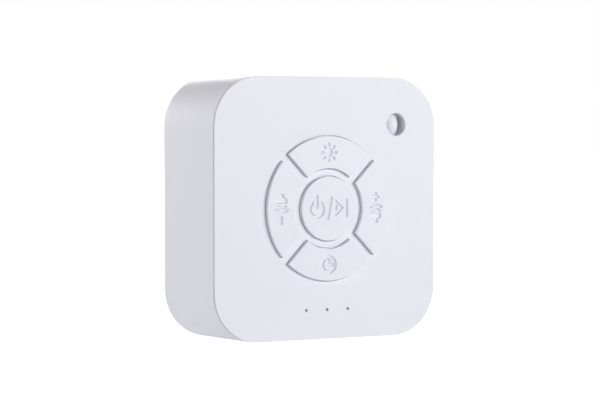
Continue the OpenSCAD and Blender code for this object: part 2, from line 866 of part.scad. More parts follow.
module speaker_yoke() {
    color("#8d8f93") on_speaker_axis() {
        translate([0, 0, magnet_end]) cylinder(r = plate_r, h = yoke_t);
        translate([0, 0, basket_end])
            cylinder(r = coil_r - coil_t - free_gap, h = magnet_end - basket_end + overlap);
    }
}

module speaker_coil() {
    color("#b06a3a") on_speaker_axis() translate([0, 0, coil_start])
        linear_extrude(coil_end - coil_start) ring(coil_r, coil_r - coil_t);
}

module speaker_cone() {
    color("#2c2c2e") on_speaker_axis() rotate_extrude() polygon([
        [coil_r, cone_neck_h], [cone_edge_r, cone_edge_h], [cone_edge_r, cone_edge_h - cone_t],
        [coil_r, cone_neck_h - 1.6 * cone_t]
    ]);
}

// Domed cap that closes the coil and rests on the cone's neck.
module speaker_dust_cap() {
    drop = sqrt(dust_cap_dome_r * dust_cap_dome_r - coil_r * coil_r);
    color("#242426") on_speaker_axis() rotate_extrude() intersection() {
        translate([0, coil_start + drop]) ring(dust_cap_dome_r, dust_cap_dome_r - cone_t);
        square([coil_r, coil_start]);
    }
}

// Half roll between the cone's edge and the frame, with its glued outer lip.
module speaker_surround() {
    roll_r = surround_w / 2;
    color("#1c1c1e") on_speaker_axis() rotate_extrude() {
        intersection() {
            translate([cone_edge_r + roll_r, gasket_t]) ring(roll_r, roll_r - surround_t);
            translate([cone_edge_r + 0.02, gasket_t]) square([2 * roll_r, 2 * roll_r]);
        }
        translate([surround_r - surround_t, gasket_t - surround_t])
            square([surround_t + surround_lip, surround_t]);
    }
}

module speaker_spider() {
    color("#c9a24a") on_speaker_axis() translate([0, 0, basket_end - frame_t - spider_t - 0.1])
        linear_extrude(spider_t) ring(magnet_r - 1, coil_r + pilot_gap);
}

module speaker_gasket() {
    color("#2a2a2c") on_speaker_axis() linear_extrude(gasket_t)
        ring(speaker_r, surround_r + surround_lip + slip);
}

module grille_cloth() {
    color("#1b1b1d") on_speaker_axis() linear_extrude(cloth_t) circle(surround_r);
}

// Solder-tag strip on the basket's lug, towards the main board.
module speaker_terminal() {
    color("#b98a4a") on_speaker_axis() translate([magnet_r + 0.2, -lug[1] / 2, basket_end])
        cube([lug[0] - 0.8, lug[1], terminal_t]);
}

// ---------------------------------------------------------------- internal wires

// Two wires side by side, each half the spread from the line through the points.
module wire_pair(points, spread) {
    for (s = [-1, 1]) wire_run([for (p = points) p + wire_side * s * spread], wire_r);
}

function socket_top(i) =
    at_depth(main_board_left + LEAD_SOCKETS[i][0], socket_face, main_board_low + LEAD_SOCKETS[i][1]);

module battery_leads() {
    start = at_depth(cell_l / 2 + guard_t + wire_seat + wire_side, cell_depth, cell_z + cell_r / 2);
    end = socket_top(0);
    outer_x = start[0] + cell_lead_out;
    color("#b02a2a") wire_pair([
        start, [outer_x, start[1], start[2]], [outer_x, end[1], start[2] + cell_lead_rise[0]],
        [end[0], end[1], start[2] + cell_lead_rise[1]], end
    ], [-1, 0, 1.1]);
}

module speaker_leads() {
    strip_depth = back_depth - basket_end - terminal_t;
    start = at_depth(magnet_r + lug[0] / 2, strip_depth - wire_seat, speaker_z - lug[1] / 4);
    end = socket_top(1);
    color("#2e2e32") wire_pair([
        start, [start[0] + 2.4, end[1], start[2] - 2.6], [end[0], end[1], end[2] + 3.2], end
    ], [1, 0, 1]);
}

module lamp_leads() {
    start = [shelf_w / 2 - 4, front_y + window_depth - 5, shelf_z + lamp_board_t + wire_seat + wire_side];
    edge = shelf_w / 2 + 1.6;
    end = socket_top(2);
    color("#c9c9cc") wire_pair([
        start, [edge, start[1], start[2]], [edge, start[1], shelf_z - 4], [end[0], end[1], shelf_z - 9], end
    ], [1, 0, 1]);
}

// ---------------------------------------------------------------- fasteners

// A screw along Y: head seated at a depth, shank pointing to the front or the back.
module screw(at, head_r, head_t, shank_r, length, seat, forward) {
    tip = forward ? seat - length : seat + length;
    peg(at, head_r, forward ? seat : seat - head_t, forward ? seat + head_t : seat);
    peg(at, shank_r, min(seat, tip) - (forward ? 0 : overlap), max(seat, tip) + (forward ? overlap : 0));
}

module case_screws() {
    color("#9a9da1") for (p = CASE_SCREWS)
        screw(p, case_head_r, case_head_t, case_screw_r, case_screw_l, case_seat_depth, true);
}

module key_board_screws() {
    color("#9a9da1") for (p = KEY_BOARD_SCREWS)
        screw(p, board_head_r, board_head_t, board_screw_r, board_screw_l, key_board_back, true);
}

module main_board_screws() {
    color("#9a9da1") for (p = MAIN_BOARD_SCREWS)
        screw(p, board_head_r, board_head_t, board_screw_r, board_screw_l, main_board_depth, false);
}

module speaker_screws() {
    seat = back_depth - flange_front;
    color("#9a9da1") for (p = SPEAKER_SCREWS)
        screw(p, speaker_screw_head_r, speaker_head_t, board_screw_r, speaker_screw_l, seat, false);
}

front_panel();
housing();
strap_cup();
indicator_guide();
lamp_window();
foot_pads();
power_key();
light_key();
timer_key();
volume_down_key();
volume_up_key();
power_stem();
light_stem();
timer_stem();
volume_down_stem();
volume_up_stem();
switch_bodies();
indicator_leds();
key_board();
key_ribbon();
ribbon_sockets();
main_board();
board_chips();
board_capacitors();
board_inductor();
lead_sockets();
usb_shell();
usb_tongue();
lamp_board();
lamp_leds();
lamp_leads();
battery_cell();
battery_guard();
battery_pads();
battery_leads();
speaker_frame();
speaker_magnet();
speaker_yoke();
speaker_pole_plate();
speaker_cone();
speaker_dust_cap();
speaker_coil();
speaker_surround();
speaker_spider();
speaker_gasket();
speaker_terminal();
speaker_leads();
grille_cloth();
case_screws();
key_board_screws();
main_board_screws();
speaker_screws();
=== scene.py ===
"""Dressed model of a palm-size white noise machine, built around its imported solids.

Lengths in this script are millimetres until a shell becomes a mesh, in metres.
Depth is measured from the front face towards the back.
"""
import json
import math

import bmesh
import bpy
import numpy as np
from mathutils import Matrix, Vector


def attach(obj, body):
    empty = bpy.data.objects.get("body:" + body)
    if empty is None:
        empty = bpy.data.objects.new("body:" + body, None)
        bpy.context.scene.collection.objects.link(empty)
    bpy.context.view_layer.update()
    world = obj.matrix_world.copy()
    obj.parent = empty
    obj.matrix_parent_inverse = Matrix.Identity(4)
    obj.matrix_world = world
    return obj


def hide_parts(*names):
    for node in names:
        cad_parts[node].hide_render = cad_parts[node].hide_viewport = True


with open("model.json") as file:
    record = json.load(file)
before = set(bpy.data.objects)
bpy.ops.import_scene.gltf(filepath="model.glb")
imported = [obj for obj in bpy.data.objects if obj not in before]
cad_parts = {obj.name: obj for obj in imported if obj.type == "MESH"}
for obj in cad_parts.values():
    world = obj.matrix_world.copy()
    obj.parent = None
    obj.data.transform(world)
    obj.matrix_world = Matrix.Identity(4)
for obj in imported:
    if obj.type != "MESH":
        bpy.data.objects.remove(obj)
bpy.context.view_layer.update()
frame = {"nodes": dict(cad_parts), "record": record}
NODES = frame["nodes"]
MM = 0.001

# ------------------------------------------------------------------ sizes of the pieces
# They follow the solids. Names that end in _DEPTH, _END, _BACK or _SEAT are depths from the front face.

# case
BODY_W, BODY_H, BODY_D = 100.0, 100.0, 38.0
CORNER_R, WALL, REAR_EDGE_R = 19.0, 2.0, 0.4
FRONT = -BODY_D / 2
BACK_INSIDE = BODY_D - WALL
PANEL_T, LIP_T, SEAM_W, TONGUE_GAP = 2.4, 0.2, 0.75, 0.2

# key pattern, with the keys' flanges and posts behind the panel
PATTERN_Z = BODY_H / 2 - 0.1
RING_R, RING_INNER_R, CENTRE_R = 27.6, 15.35, 12.3
WEB_W, KEY_GAP, KEY_RISE = 2.8, 0.4, 1.4
FLANGE_W, FLANGE_T, FLANGE_GAP = 0.7, 1.0, 0.15
KEY_BACK = PANEL_T + FLANGE_GAP + FLANGE_T
KEY_POST_R, KEY_POST_END = 2.0, KEY_BACK + 0.7
# Each key has a step that closes its gap below a groove, which is shallow above and below the key and
# deep at its sides.
GROOVE_W, GROOVE_SHALLOW, GROOVE_DEEP, STEP_GAP = 0.4, 0.5, 2.0, 0.1
SYMBOL_REACH, STROKE_W, ENGRAVE_T = 21.4, 0.88, 0.75

INDICATOR_Z, INDICATOR_PITCH, INDICATOR_R = 11.2, 9.45, 0.6

# Strap eyelet: its neck ends at the first depth and widens to the hollow by the last one.
EYELET_X, EYELET_Z, EYELET_R, MOUTH_R = 31.95, 82.0, 4.3, 0.5
NECK_END, NECK_FLARE, HOLLOW_START, HOLLOW_R = 1.3, 1.7, 2.4, 4.6
COLLAR_R, COLLAR_DEPTH = 5.9, 6.0
# Its bar is an ellipse across, and its ends lie BAR_ARCH deeper than its middle.
BAR_X, BAR_HALF_W, BAR_HALF_T, BAR_DEPTH = 31.9, 2.9, 2.5, 4.0
BAR_HALF_L, BAR_ARCH, BAR_BACK_ROOM = 4.9, 1.4, 0.1

# case screws, with the rubber pads over them
SCREW_X, SCREW_Z = 40.2, (9.8, 90.2)
CASE_SCREWS = [(x, z) for x in (-SCREW_X, SCREW_X) for z in SCREW_Z]
CASE_SEAT, CASE_WEB, TUBE_R, POST_R = 24.5, 2.5, 3.5, 2.8
CASE_HEAD_BORE, CASE_SHANK_BORE, CASE_PILOT = 2.4, 1.2, 1.05
POST_END, CASE_PILOT_END = 21.7, 11.0
PAD_R, PAD_T, PAD_RISE, PAD_RECESS_R = 3.85, 1.2, 0.4, 4.0
PAD_SEAT = BODY_D + PAD_RISE - PAD_T

# bosses for the boards and the loudspeaker
BOSS_R, BOSS_PILOT = 2.4, 0.85
KEY_BOARD_DEPTH, KEY_PILOT_END = 8.3, 3.2
KEY_BOARD_BOSSES = [(-22.1, 80.0), (21.45, 80.0), (-22.1, 11.2), (22.1, 11.2)]
MAIN_BOARD_BACK, MAIN_PILOT_END = 21.2, 26.3
MAIN_BOARD_BOSSES = [(28.3, 29.5), (28.3, 70.5), (43.4, 47.0), (43.4, 70.5)]
SPEAKER_Z, SPEAKER_BOSS_REACH = 50.0, 27.6
SPEAKER_BOSSES = [(SPEAKER_BOSS_REACH * math.cos(a), SPEAKER_Z + SPEAKER_BOSS_REACH * math.sin(a))
                  for a in np.radians([45, 135, 225, 315])]
SPEAKER_BOSS_END, SPEAKER_PILOT_END = BACK_INSIDE - 3, BODY_D - WALL / 2

# openings in the walls, and what the walls carry inside
WINDOW_L, WINDOW_W, WINDOW_DEPTH, WINDOW_SLIP = 34.0, 9.0, 20.0, 0.15
WINDOW_FLANGE, WINDOW_FLANGE_T = 1.3, 1.2
INLET_W, INLET_T, INLET_DEPTH, INLET_Z = 9.3, 3.5, 18.4, 37.0
GRILLE_RINGS, GRILLE_PITCH, GRILLE_HOLE_R = 6, 3.1, 0.9
SHELF_HALF, SHELF_TOP, SHELF_T, SHELF_FRONT = 21.0, 91.1, 1.5, 12.0
CRADLE_X, CRADLE_T, CELL_R, CELL_Z, CELL_DEPTH, CELL_BED = 22.5, 2.0, 9.15, 12.6, 25.0, 0.3
LET_IN = 0.5            # how far the shelf and the cradle reach into the wall

# roundings
PANEL_EDGE_R, OPENING_EDGE_R, INDICATOR_EDGE_R, SMALL_EDGE_R = 0.18, 0.1, 0.05, 0.2
KEY_EDGE_R, KEY_CORNER_R, PAD_EDGE_R = 0.25, 0.3, 0.25

# meshes: a narrow flat strip beside a rounding keeps the shading of the flat face even
SUPPORT, REAR_SUPPORT, INNER_SUPPORT = 0.06, 0.18, 0.4
MERGE_DISTANCE, PLANE_TOLERANCE, SHARP_ANGLE = 0.0005, 0.001, 32
BODY_CORNER_STEPS, REAR_STEPS, BED_STEPS, BAR_ROWS = 24, 8, 24, 40
KEY_SIDES, EYELET_SIDES, ROUND_SIDES, BOSS_SIDES, HOLE_SIDES, GRILLE_SIDES = 96, 64, 48, 32, 24, 20


def linear(*levels):
    """Display levels from 0 to 255 as a scene-linear colour."""
    shares = [v / 255 for v in levels]
    return tuple(v / 12.92 if v <= 10 / 255 else ((v + 0.055) / 1.055) ** 2.4 for v in shares) + (1.0,)


# ------------------------------------------------------------------ outlines in the front view
# An outline is a closed list of (x, z, outward normal x, outward normal z).

def circle(x, z, r, sides=ROUND_SIDES):
    turns = [2 * math.pi * i / sides for i in range(sides)]
    return [(x + r * math.cos(a), z + r * math.sin(a), math.cos(a), math.sin(a)) for a in turns]


def arc(cx, cz, r, start, end, steps, inward=False):
    out = []
    for i in range(steps + 1):
        a = start + (end - start) * i / steps
        c, s = math.cos(a), math.sin(a)
        out.append((cx + r * c, cz + r * s, -c if inward else c, -s if inward else s))
    return out


def body_outline():
    """The upright rounded square, from the right side round by the top."""
    out = []
    reach_x, reach_z = BODY_W / 2 - CORNER_R, BODY_H / 2 - CORNER_R
    for i, (sx, sz) in enumerate([(1, 1), (-1, 1), (-1, -1), (1, -1)]):
        start = i * math.pi / 2
        out += arc(sx * reach_x, BODY_H / 2 + sz * reach_z, CORNER_R, start, start + math.pi / 2,
                   BODY_CORNER_STEPS)
    return out


def sector_outline(turn, steps=40, corner_steps=5):
    """A ring key: two arcs and two sides that run parallel to the diagonals."""
    rc, d = KEY_CORNER_R, WEB_W / 2 + KEY_GAP

    def corner(radius, side):
        """Centre of a corner's rounding, for the side at +45 or -45 degrees."""
        along = math.sqrt(radius ** 2 - (d + rc) ** 2)
        a = side * math.pi / 4
        n = (math.sin(a) * side, -math.cos(a) * side)
        return (along * math.cos(a) + (d + rc) * n[0], along * math.sin(a) + (d + rc) * n[1])

    out = []
    outer_low, outer_high = corner(RING_R - rc, -1), corner(RING_R - rc, 1)
    inner_low, inner_high = corner(RING_INNER_R + rc, -1), corner(RING_INNER_R + rc, 1)
    half_outer = math.atan2(outer_high[1], outer_high[0])
    half_inner = math.atan2(inner_high[1], inner_high[0])
    side_high, side_low = 3 * math.pi / 4, -3 * math.pi / 4
    out += arc(0, 0, RING_R, -half_outer, half_outer, steps)
    out += arc(*outer_high, rc, half_outer, side_high, corner_steps)[1:]
    out += arc(*inner_high, rc, side_high, math.pi + half_inner, corner_steps)
    out += arc(0, 0, RING_INNER_R, half_inner, -half_inner, steps // 2, inward=True)[1:]
    out += arc(*inner_low, rc, math.pi - half_inner, 2 * math.pi + side_low, corner_steps)[1:]
    out += arc(*outer_low, rc, side_low, -half_outer, corner_steps)[:-1]
    c, s = math.cos(math.radians(turn)), math.sin(math.radians(turn))
    return [(x * c - z * s, PATTERN_Z + x * s + z * c, nx * c - nz * s, nx * s + nz * c)
            for x, z, nx, nz in out]


def pill(length, width, steps=12):
    """Outline of a slot along the first axis, round its own middle."""
    r, half = width / 2, (length - width) / 2
    return (arc(half, 0, r, -math.pi / 2, math.pi / 2, steps)
            + arc(-half, 0, r, math.pi / 2, 3 * math.pi / 2, steps))


# ------------------------------------------------------------------ profiles: (grow, depth) pairs

def outer_edge(grow, depth, r, steps=5):
    """Rounded edge of a raised form, from its flat front to its wall."""
    out = [(grow - r - SUPPORT, depth)]
    for i in range(steps + 1):
        a = math.pi / 2 * i / steps
        out.append((grow - r + r * math.sin(a), depth + r * (1 - math.cos(a))))
    return out


def opening_edge(grow, depth, r, steps=4):
    """Rounded edge of an opening, from the flat face round it to its wall."""
    return [(2 * grow - g, d) for g, d in outer_edge(grow, depth, r, steps)]


def mirrored(profile, depth):
    """The same edge on a face that looks to the back, at that depth."""
    return [(g, 2 * depth - d) for g, d in profile]


# ------------------------------------------------------------------ shells

class Shell:
    """Points and faces of one piece while it is being made."""

    def __init__(self):
        self.points, self.faces, self.planes = [], [], []

    def add_loop(self, points):
        start = len(self.points)
        self.points += points
        return list(range(start, start + len(points)))

    def loop(self, outline, grow, depth):
        return self.add_loop([(x + grow * nx, FRONT + depth, z + grow * nz) for x, z, nx, nz in outline])

    def band(self, a, b, skip=()):
        """Faces between two loops, but none on the skipped sides."""
        n = len(a)
        self.faces += [(a[i], a[(i + 1) % n], b[(i + 1) % n], b[i]) for i in range(n) if i not in skip]

    def sweep(self, outline, profile, skip_at=None, skip=()):
        """The profile taken round the outline. Its band skip_at leaves out the skipped sides."""
        loops = [self.loop(outline, g, d) for g, d in profile]
        for i in range(len(loops) - 1):
            self.band(loops[i], loops[i + 1], skip if i == skip_at else ())
        return loops

    def tube(self, loops):
        for a, b in zip(loops, loops[1:]):
            self.band(a, b)

    def closed_tube(self, loops):
        self.tube(loops)
        self.faces += [tuple(loops[0]), tuple(loops[-1])]

    def boss(self, x, z, r, pilot, root, end, floor):
        """A round boss with a blind hole, which ends at its floor."""
        loops = self.sweep(circle(x, z, r, BOSS_SIDES),
                           [(0, root), (0, end), (pilot - r, end), (pilot - r, floor)])
        self.faces.append(tuple(loops[-1]))

    def extend(self, mesh):
        start = len(self.points)
        self.points += [tuple(c / MM for c in v.co) for v in mesh.vertices]
        self.faces += [tuple(start + i for i in p.vertices) for p in mesh.polygons]

    def cap(self, axis, value):
        """Later, every open edge in that plane is closed by a flat face with its holes."""
        self.planes.append((axis, value))

    def mesh(self, name):
        bm = bmesh.new()
        verts = [bm.verts.new(p) for p in self.points]
        bm.verts.index_update()
        for f in self.faces:
            bm.faces.new([verts[i] for i in f])
        bmesh.ops.remove_doubles(bm, verts=bm.verts, dist=MERGE_DISTANCE)
        bm.edges.index_update()
        for f in bm.faces:
            f.smooth = True
        for axis, value in self.planes:
            rim = [e for e in bm.edges
                   if e.is_boundary and all(abs(v.co[axis] - value) < PLANE_TOLERANCE for v in e.verts)]
            normal = Vector([1.0 if i == axis else 0.0 for i in range(3)])
            filled = bmesh.ops.triangle_fill(
                bm, use_beauty=False, use_dissolve=False, edges=rim, normal=normal)
            for f in filled["geom"]:
                if isinstance(f, bmesh.types.BMFace):
                    f.smooth = False
        bmesh.ops.recalc_face_normals(bm, faces=bm.faces)
        open_edges = sum(1 for e in bm.edges if not e.is_manifold)
        if open_edges:
            print(f"{name}: {open_edges} open edges")
        bmesh.ops.scale(bm, vec=(MM, MM, MM), verts=bm.verts)
        mesh = bpy.data.meshes.new(name)
        bm.to_mesh(mesh)
        bm.free()
        mesh.set_sharp_from_angle(angle=math.radians(SHARP_ANGLE))
        return mesh


def piece(name, shell, body, slot, node):
    """Makes the shell an object that takes the place of the node's solid."""
    mesh = shell.mesh(name)
    obj = bpy.data.objects.new(name, mesh)
    bpy.context.scene.collection.objects.link(obj)
    mesh.materials.append(MATERIALS[slot])
    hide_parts(node)
    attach(obj, body)


# ------------------------------------------------------------------ node-tree helpers

class Nodes:
    """Short hand for building a node tree."""

    def __init__(self, tree):
        self.tree = tree

    def add(self, kind, inputs=None, **settings):
        node = self.tree.nodes.new(kind)
        for key, value in settings.items():
            setattr(node, key, value)
        for key, value in (inputs or {}).items():
            self.put(value, node.inputs[key])
        return node

    def put(self, value, socket):
        if isinstance(value, bpy.types.NodeSocket):
            self.tree.links.new(value, socket)
        elif value is not None:
            socket.default_value = value

    def math(self, operation, a, b=None, c=None, clamp=False):
        node = self.add("ShaderNodeMath", {0: a, 1: b, 2: c}, operation=operation, use_clamp=clamp)
        return node.outputs[0]

    def sum(self, *terms):
        total = terms[0]
        for term in terms[1:]:
            total = self.math("ADD", total, term)
        return total


def new_tree(name, kind, inputs, outputs):
    """A node group with named inputs (name, socket kind, default) and outputs."""
    tree = bpy.data.node_groups.new(name, kind)
    for title, socket, default in inputs:
        item = tree.interface.new_socket(title, in_out="INPUT", socket_type=socket)
        if default is not None:
            item.default_value = default
    for title, socket in outputs:
        tree.interface.new_socket(title, in_out="OUTPUT", socket_type=socket)
    kit = Nodes(tree)
    return tree, kit, kit.add("NodeGroupInput").outputs, kit.add("NodeGroupOutput").inputs


def grown(tree, name, **values):
    """Evaluates a geometry tree on an empty mesh and gives the plain mesh that it makes."""
    host = bpy.data.objects.new(name, bpy.data.meshes.new(name))
    bpy.context.scene.collection.objects.link(host)
    modifier = host.modifiers.new("form", "NODES")
    modifier.node_group = tree
    sockets = {s.name: s.identifier for s in tree.interface.items_tree
               if s.item_type == "SOCKET" and s.in_out == "INPUT"}
    for title, value in values.items():
        modifier[sockets[title.replace("_", " ")]] = value
    bpy.context.view_layer.update()
    mesh = bpy.data.meshes.new_from_object(host.evaluated_get(bpy.context.evaluated_depsgraph_get()))
    host.modifiers.remove(modifier)
    bpy.data.objects.remove(host)
    return mesh


FLOAT, INT, VECTOR = "NodeSocketFloat", "NodeSocketInt", "NodeSocketVector"
COLOUR, MATERIAL, GEOMETRY = "NodeSocketColor", "NodeSocketMaterial", "NodeSocketGeometry"
MERGE_DISTANCE_M = 1e-6
MOUTH_ROWS, PAD_ROWS = 9, 17
RING_MARGIN = 0.001     # keeps the last hole of a ring on it when its root is rounded


def turned_surface(kit, sides, rows, radius_and_height):
    """A grid wound round the Y axis.

    The callback gives radius and height from the place along the profile, 0 to 1."""
    grid = kit.add("GeometryNodeMeshGrid", {"Size X": 1.0, "Size Y": 1.0,
                                            "Vertices X": kit.math("ADD", sides, 1), "Vertices Y": rows})
    at = kit.add("ShaderNodeSeparateXYZ", {0: kit.add("GeometryNodeInputPosition").outputs[0]}).outputs
    turn = kit.math("MULTIPLY", kit.math("ADD", at[0], 0.5), 2 * math.pi)
    radius, height = radius_and_height(kit.math("ADD", at[1], 0.5))
    wound = kit.add("ShaderNodeCombineXYZ", {
        0: kit.math("MULTIPLY", radius, kit.math("COSINE", turn)), 1: height,
        2: kit.math("MULTIPLY", radius, kit.math("SINE", turn))})
    moved = kit.add("GeometryNodeSetPosition", {
        "Geometry": grid.outputs["Mesh"], "Position": wound.outputs[0]})
    return kit.add("GeometryNodeMergeByDistance", {
        "Geometry": moved.outputs[0], "Distance": MERGE_DISTANCE_M}).outputs[0]


def finish_tree(kit, out, points, form, material):
    placed = kit.add("GeometryNodeInstanceOnPoints", {"Points": points, "Instance": form})
    real = kit.add("GeometryNodeRealizeInstances", {"Geometry": placed.outputs[0]})
    dressed = kit.add("GeometryNodeSetMaterial", {"Geometry": real.outputs[0], "Material": material})
    kit.put(dressed.outputs[0], out[0])


def perforation_tree():
    """Rounded-mouth holes on rings of six, twelve, eighteen and so on round a middle one."""
    tree, kit, given, out = new_tree("perforations", "GeometryNodeTree", [
        ("Rings", INT, 6), ("Pitch", FLOAT, 0.0031), ("Hole radius", FLOAT, 0.0009),
        ("Mouth rounding", FLOAT, 0.0002), ("Wall", FLOAT, 0.002), ("Sides", INT, 20),
        ("Centre", VECTOR, (0, 0, 0)), ("Material", MATERIAL, None),
    ], [("Geometry", GEOMETRY)])
    rings = given["Rings"]
    # 1 + 3 n (n + 1) holes lie on and inside ring n, so a hole's ring comes from its index by a root
    inner = kit.math("MULTIPLY", rings, 3)
    count = kit.math("ADD", kit.math("MULTIPLY", inner, kit.math("ADD", rings, 1)), 1)
    index = kit.add("GeometryNodeInputIndex").outputs[0]
    root = kit.math("SQRT", kit.math("MULTIPLY_ADD", index, 12, 9))
    solved = kit.math("DIVIDE", kit.math("SUBTRACT", root, 3), 6)
    ring = kit.math("CEIL", kit.math("SUBTRACT", solved, RING_MARGIN))
    inside = kit.math("MULTIPLY", ring, 3)
    first = kit.math("ADD", kit.math("MULTIPLY", inside, kit.math("SUBTRACT", ring, 1)), 1)
    step = kit.math("DIVIDE", math.pi / 3, kit.math("MAXIMUM", ring, 1))
    turn = kit.math("MULTIPLY", kit.math("SUBTRACT", index, first), step)
    reach = kit.math("MULTIPLY", ring, given["Pitch"])
    spot = kit.add("ShaderNodeCombineXYZ", {
        0: kit.math("MULTIPLY", reach, kit.math("SINE", turn)), 1: 0.0,
        2: kit.math("MULTIPLY", reach, kit.math("COSINE", turn))})
    place = kit.add("ShaderNodeVectorMath", {0: spot.outputs[0], 1: given["Centre"]}, operation="ADD")
    points = kit.add("GeometryNodePoints", {"Count": count, "Position": place.outputs[0]})

    def mouth(along):
        # the first half is the rounded mouth, the second half the bore
        bend = kit.math("MULTIPLY", kit.math("MULTIPLY", along, 2, clamp=True), math.pi / 2)
        run = kit.math("MULTIPLY", kit.math("SUBTRACT", along, 0.5), 2, clamp=True)
        c = given["Mouth rounding"]
        widen = kit.math("MULTIPLY", c, kit.math("SUBTRACT", 1, kit.math("SINE", bend)))
        sink = kit.math("MULTIPLY", c, kit.math("SUBTRACT", kit.math("COSINE", bend), 1))
        bore = kit.math("MULTIPLY", kit.math("SUBTRACT", c, given["Wall"]), run)
        return kit.math("ADD", given["Hole radius"], widen), kit.math("ADD", sink, bore)

    form = turned_surface(kit, given["Sides"], MOUTH_ROWS, mouth)
    finish_tree(kit, out, points.outputs[0], form, given["Material"])
    return tree


def pad_tree():
    """Four round pads with rounded rims on the corners of a rectangle."""
    tree, kit, given, out = new_tree("corner_pads", "GeometryNodeTree", [
        ("Spacing X", FLOAT, 0.08), ("Spacing Z", FLOAT, 0.08), ("Radius", FLOAT, 0.004),
        ("Thickness", FLOAT, 0.001), ("Rim rounding", FLOAT, 0.0003), ("Sides", INT, 48),
        ("Centre", VECTOR, (0, 0, 0)), ("Material", MATERIAL, None),
    ], [("Geometry", GEOMETRY)])
    corners = kit.add("GeometryNodeMeshGrid", {"Size X": given["Spacing X"], "Size Y": given["Spacing Z"],
                                               "Vertices X": 2, "Vertices Y": 2})
    flat = kit.add("ShaderNodeSeparateXYZ", {0: kit.add("GeometryNodeInputPosition").outputs[0]}).outputs
    upright = kit.add("ShaderNodeCombineXYZ", {0: flat[0], 1: 0.0, 2: flat[1]})
    place = kit.add("ShaderNodeVectorMath", {0: upright.outputs[0], 1: given["Centre"]},
                    operation="ADD")
    points = kit.add("GeometryNodeMeshToPoints", {
        "Mesh": corners.outputs["Mesh"], "Position": place.outputs[0]})

    def disc(along):
        # four equal runs: the flat top, the rim's bend, the wall and the underside
        t = kit.math("MULTIPLY", along, 4)
        flat_run = kit.math("ADD", t, 0, clamp=True)
        bend = kit.math("MULTIPLY", kit.math("SUBTRACT", t, 1, clamp=True), math.pi / 2)
        wall = kit.math("SUBTRACT", t, 2, clamp=True)
        under = kit.math("SUBTRACT", t, 3, clamp=True)
        c, r, h = given["Rim rounding"], given["Radius"], given["Thickness"]
        radius = kit.sum(kit.math("MULTIPLY", kit.math("SUBTRACT", r, c), flat_run),
                         kit.math("MULTIPLY", c, kit.math("SINE", bend)),
                         kit.math("MULTIPLY", kit.math("MULTIPLY", r, under), -1))
        height = kit.sum(h, kit.math("MULTIPLY", c, kit.math("SUBTRACT", kit.math("COSINE", bend), 1)),
                         kit.math("MULTIPLY", kit.math("SUBTRACT", c, h), wall))
        return radius, height

    form = turned_surface(kit, given["Sides"], PAD_ROWS, disc)
    finish_tree(kit, out, points.outputs[0], form, given["Material"])
    return tree


# ------------------------------------------------------------------ shared surface effects

def surface_group(name, inputs, outputs, build):
    tree, kit, given, out = new_tree(name, "ShaderNodeTree", inputs, outputs)
    where = kit.add("ShaderNodeTexCoord").outputs["Object"]
    build(kit, given, out, where)
    return tree


def noise(kit, where, scale, detail=2.0, roughness=0.5, stretch=None):
    if stretch:
        where = kit.add("ShaderNodeMapping", {"Vector": where, "Scale": stretch}).outputs[0]
    node = kit.add("ShaderNodeTexNoise", {
        "Vector": where, "Scale": scale, "Detail": detail, "Roughness": roughness})
    return node.outputs["Fac"]


def bands(kit, where, scale, distortion, axis):
    """Even waves along one axis."""
    node = kit.add("ShaderNodeTexWave", {"Vector": where, "Scale": scale, "Distortion": distortion},
                   wave_type="BANDS", bands_direction=axis, wave_profile="SIN")
    return node.outputs["Fac"]


def centred(kit, value, amount):
    """value, from 0 to 1, as a swing of that amount round zero."""
    return kit.math("MULTIPLY", kit.math("SUBTRACT", value, 0.5), amount)


def shaded(kit, colour, factor):
    """colour times a grey factor."""
    grey = kit.add("ShaderNodeCombineColor", {0: factor, 1: factor, 2: factor}).outputs[0]
    node = kit.add("ShaderNodeMix", {"Factor": 1.0, 6: colour, 7: grey},
                   data_type="RGBA", blend_type="MULTIPLY")
    return node.outputs[2]


GRAIN_INPUTS = [("Colour", COLOUR, (0.8, 0.8, 0.8, 1)), ("Tone swing", FLOAT, 0.03),
                ("Roughness", FLOAT, 0.5), ("Roughness swing", FLOAT, 0.06),
                ("Grain scale", FLOAT, 4000.0)]
SURFACE_OUTPUTS = [("Colour", COLOUR), ("Roughness", FLOAT), ("Height", FLOAT)]
# noise scales, per metre: slow drift of tone, drift of gloss, tarnish, uneven dye and glass fibre
DRIFT_SCALE, GLOSS_SCALE, TARNISH_SCALE, DYE_SCALE, GLASS_SCALE = 28.0, 90.0, 260.0, 500.0, 1500.0


def put_surface(kit, given, out, tone, rough, height):
    kit.put(shaded(kit, given["Colour"], tone), out["Colour"])
    kit.put(rough, out["Roughness"])
    kit.put(height, out["Height"])


def swung_roughness(kit, given, value):
    return kit.math("ADD", given["Roughness"], centred(kit, value, given["Roughness swing"]))


def build_moulded(kit, given, out, where):
    """Spark-eroded mould texture with slow drifts of tone and gloss."""
    fine = noise(kit, where, given["Grain scale"], 3.0, 0.6)
    slow = noise(kit, where, DRIFT_SCALE, 2.0)
    gloss = noise(kit, where, GLOSS_SCALE, 3.0)
    tone = kit.math("ADD", 1.0, centred(kit, slow, given["Tone swing"]))
    rough = kit.sum(given["Roughness"], centred(kit, gloss, given["Roughness swing"]),
                    centred(kit, fine, 0.05))
    put_surface(kit, given, out, tone, rough, fine)


def build_brushed(kit, given, out, where):
    """Fine drawn lines, with a little tarnish."""
    lines = noise(kit, where, given["Grain scale"], 4.0, 0.7, (0.06, 1.0, 1.0))
    spots = noise(kit, where, TARNISH_SCALE, 3.0)
    drift = kit.math("ADD", centred(kit, lines, 0.18), centred(kit, spots, given["Tone swing"]))
    put_surface(kit, given, out, kit.math("ADD", 1.0, drift), swung_roughness(kit, given, lines), lines)


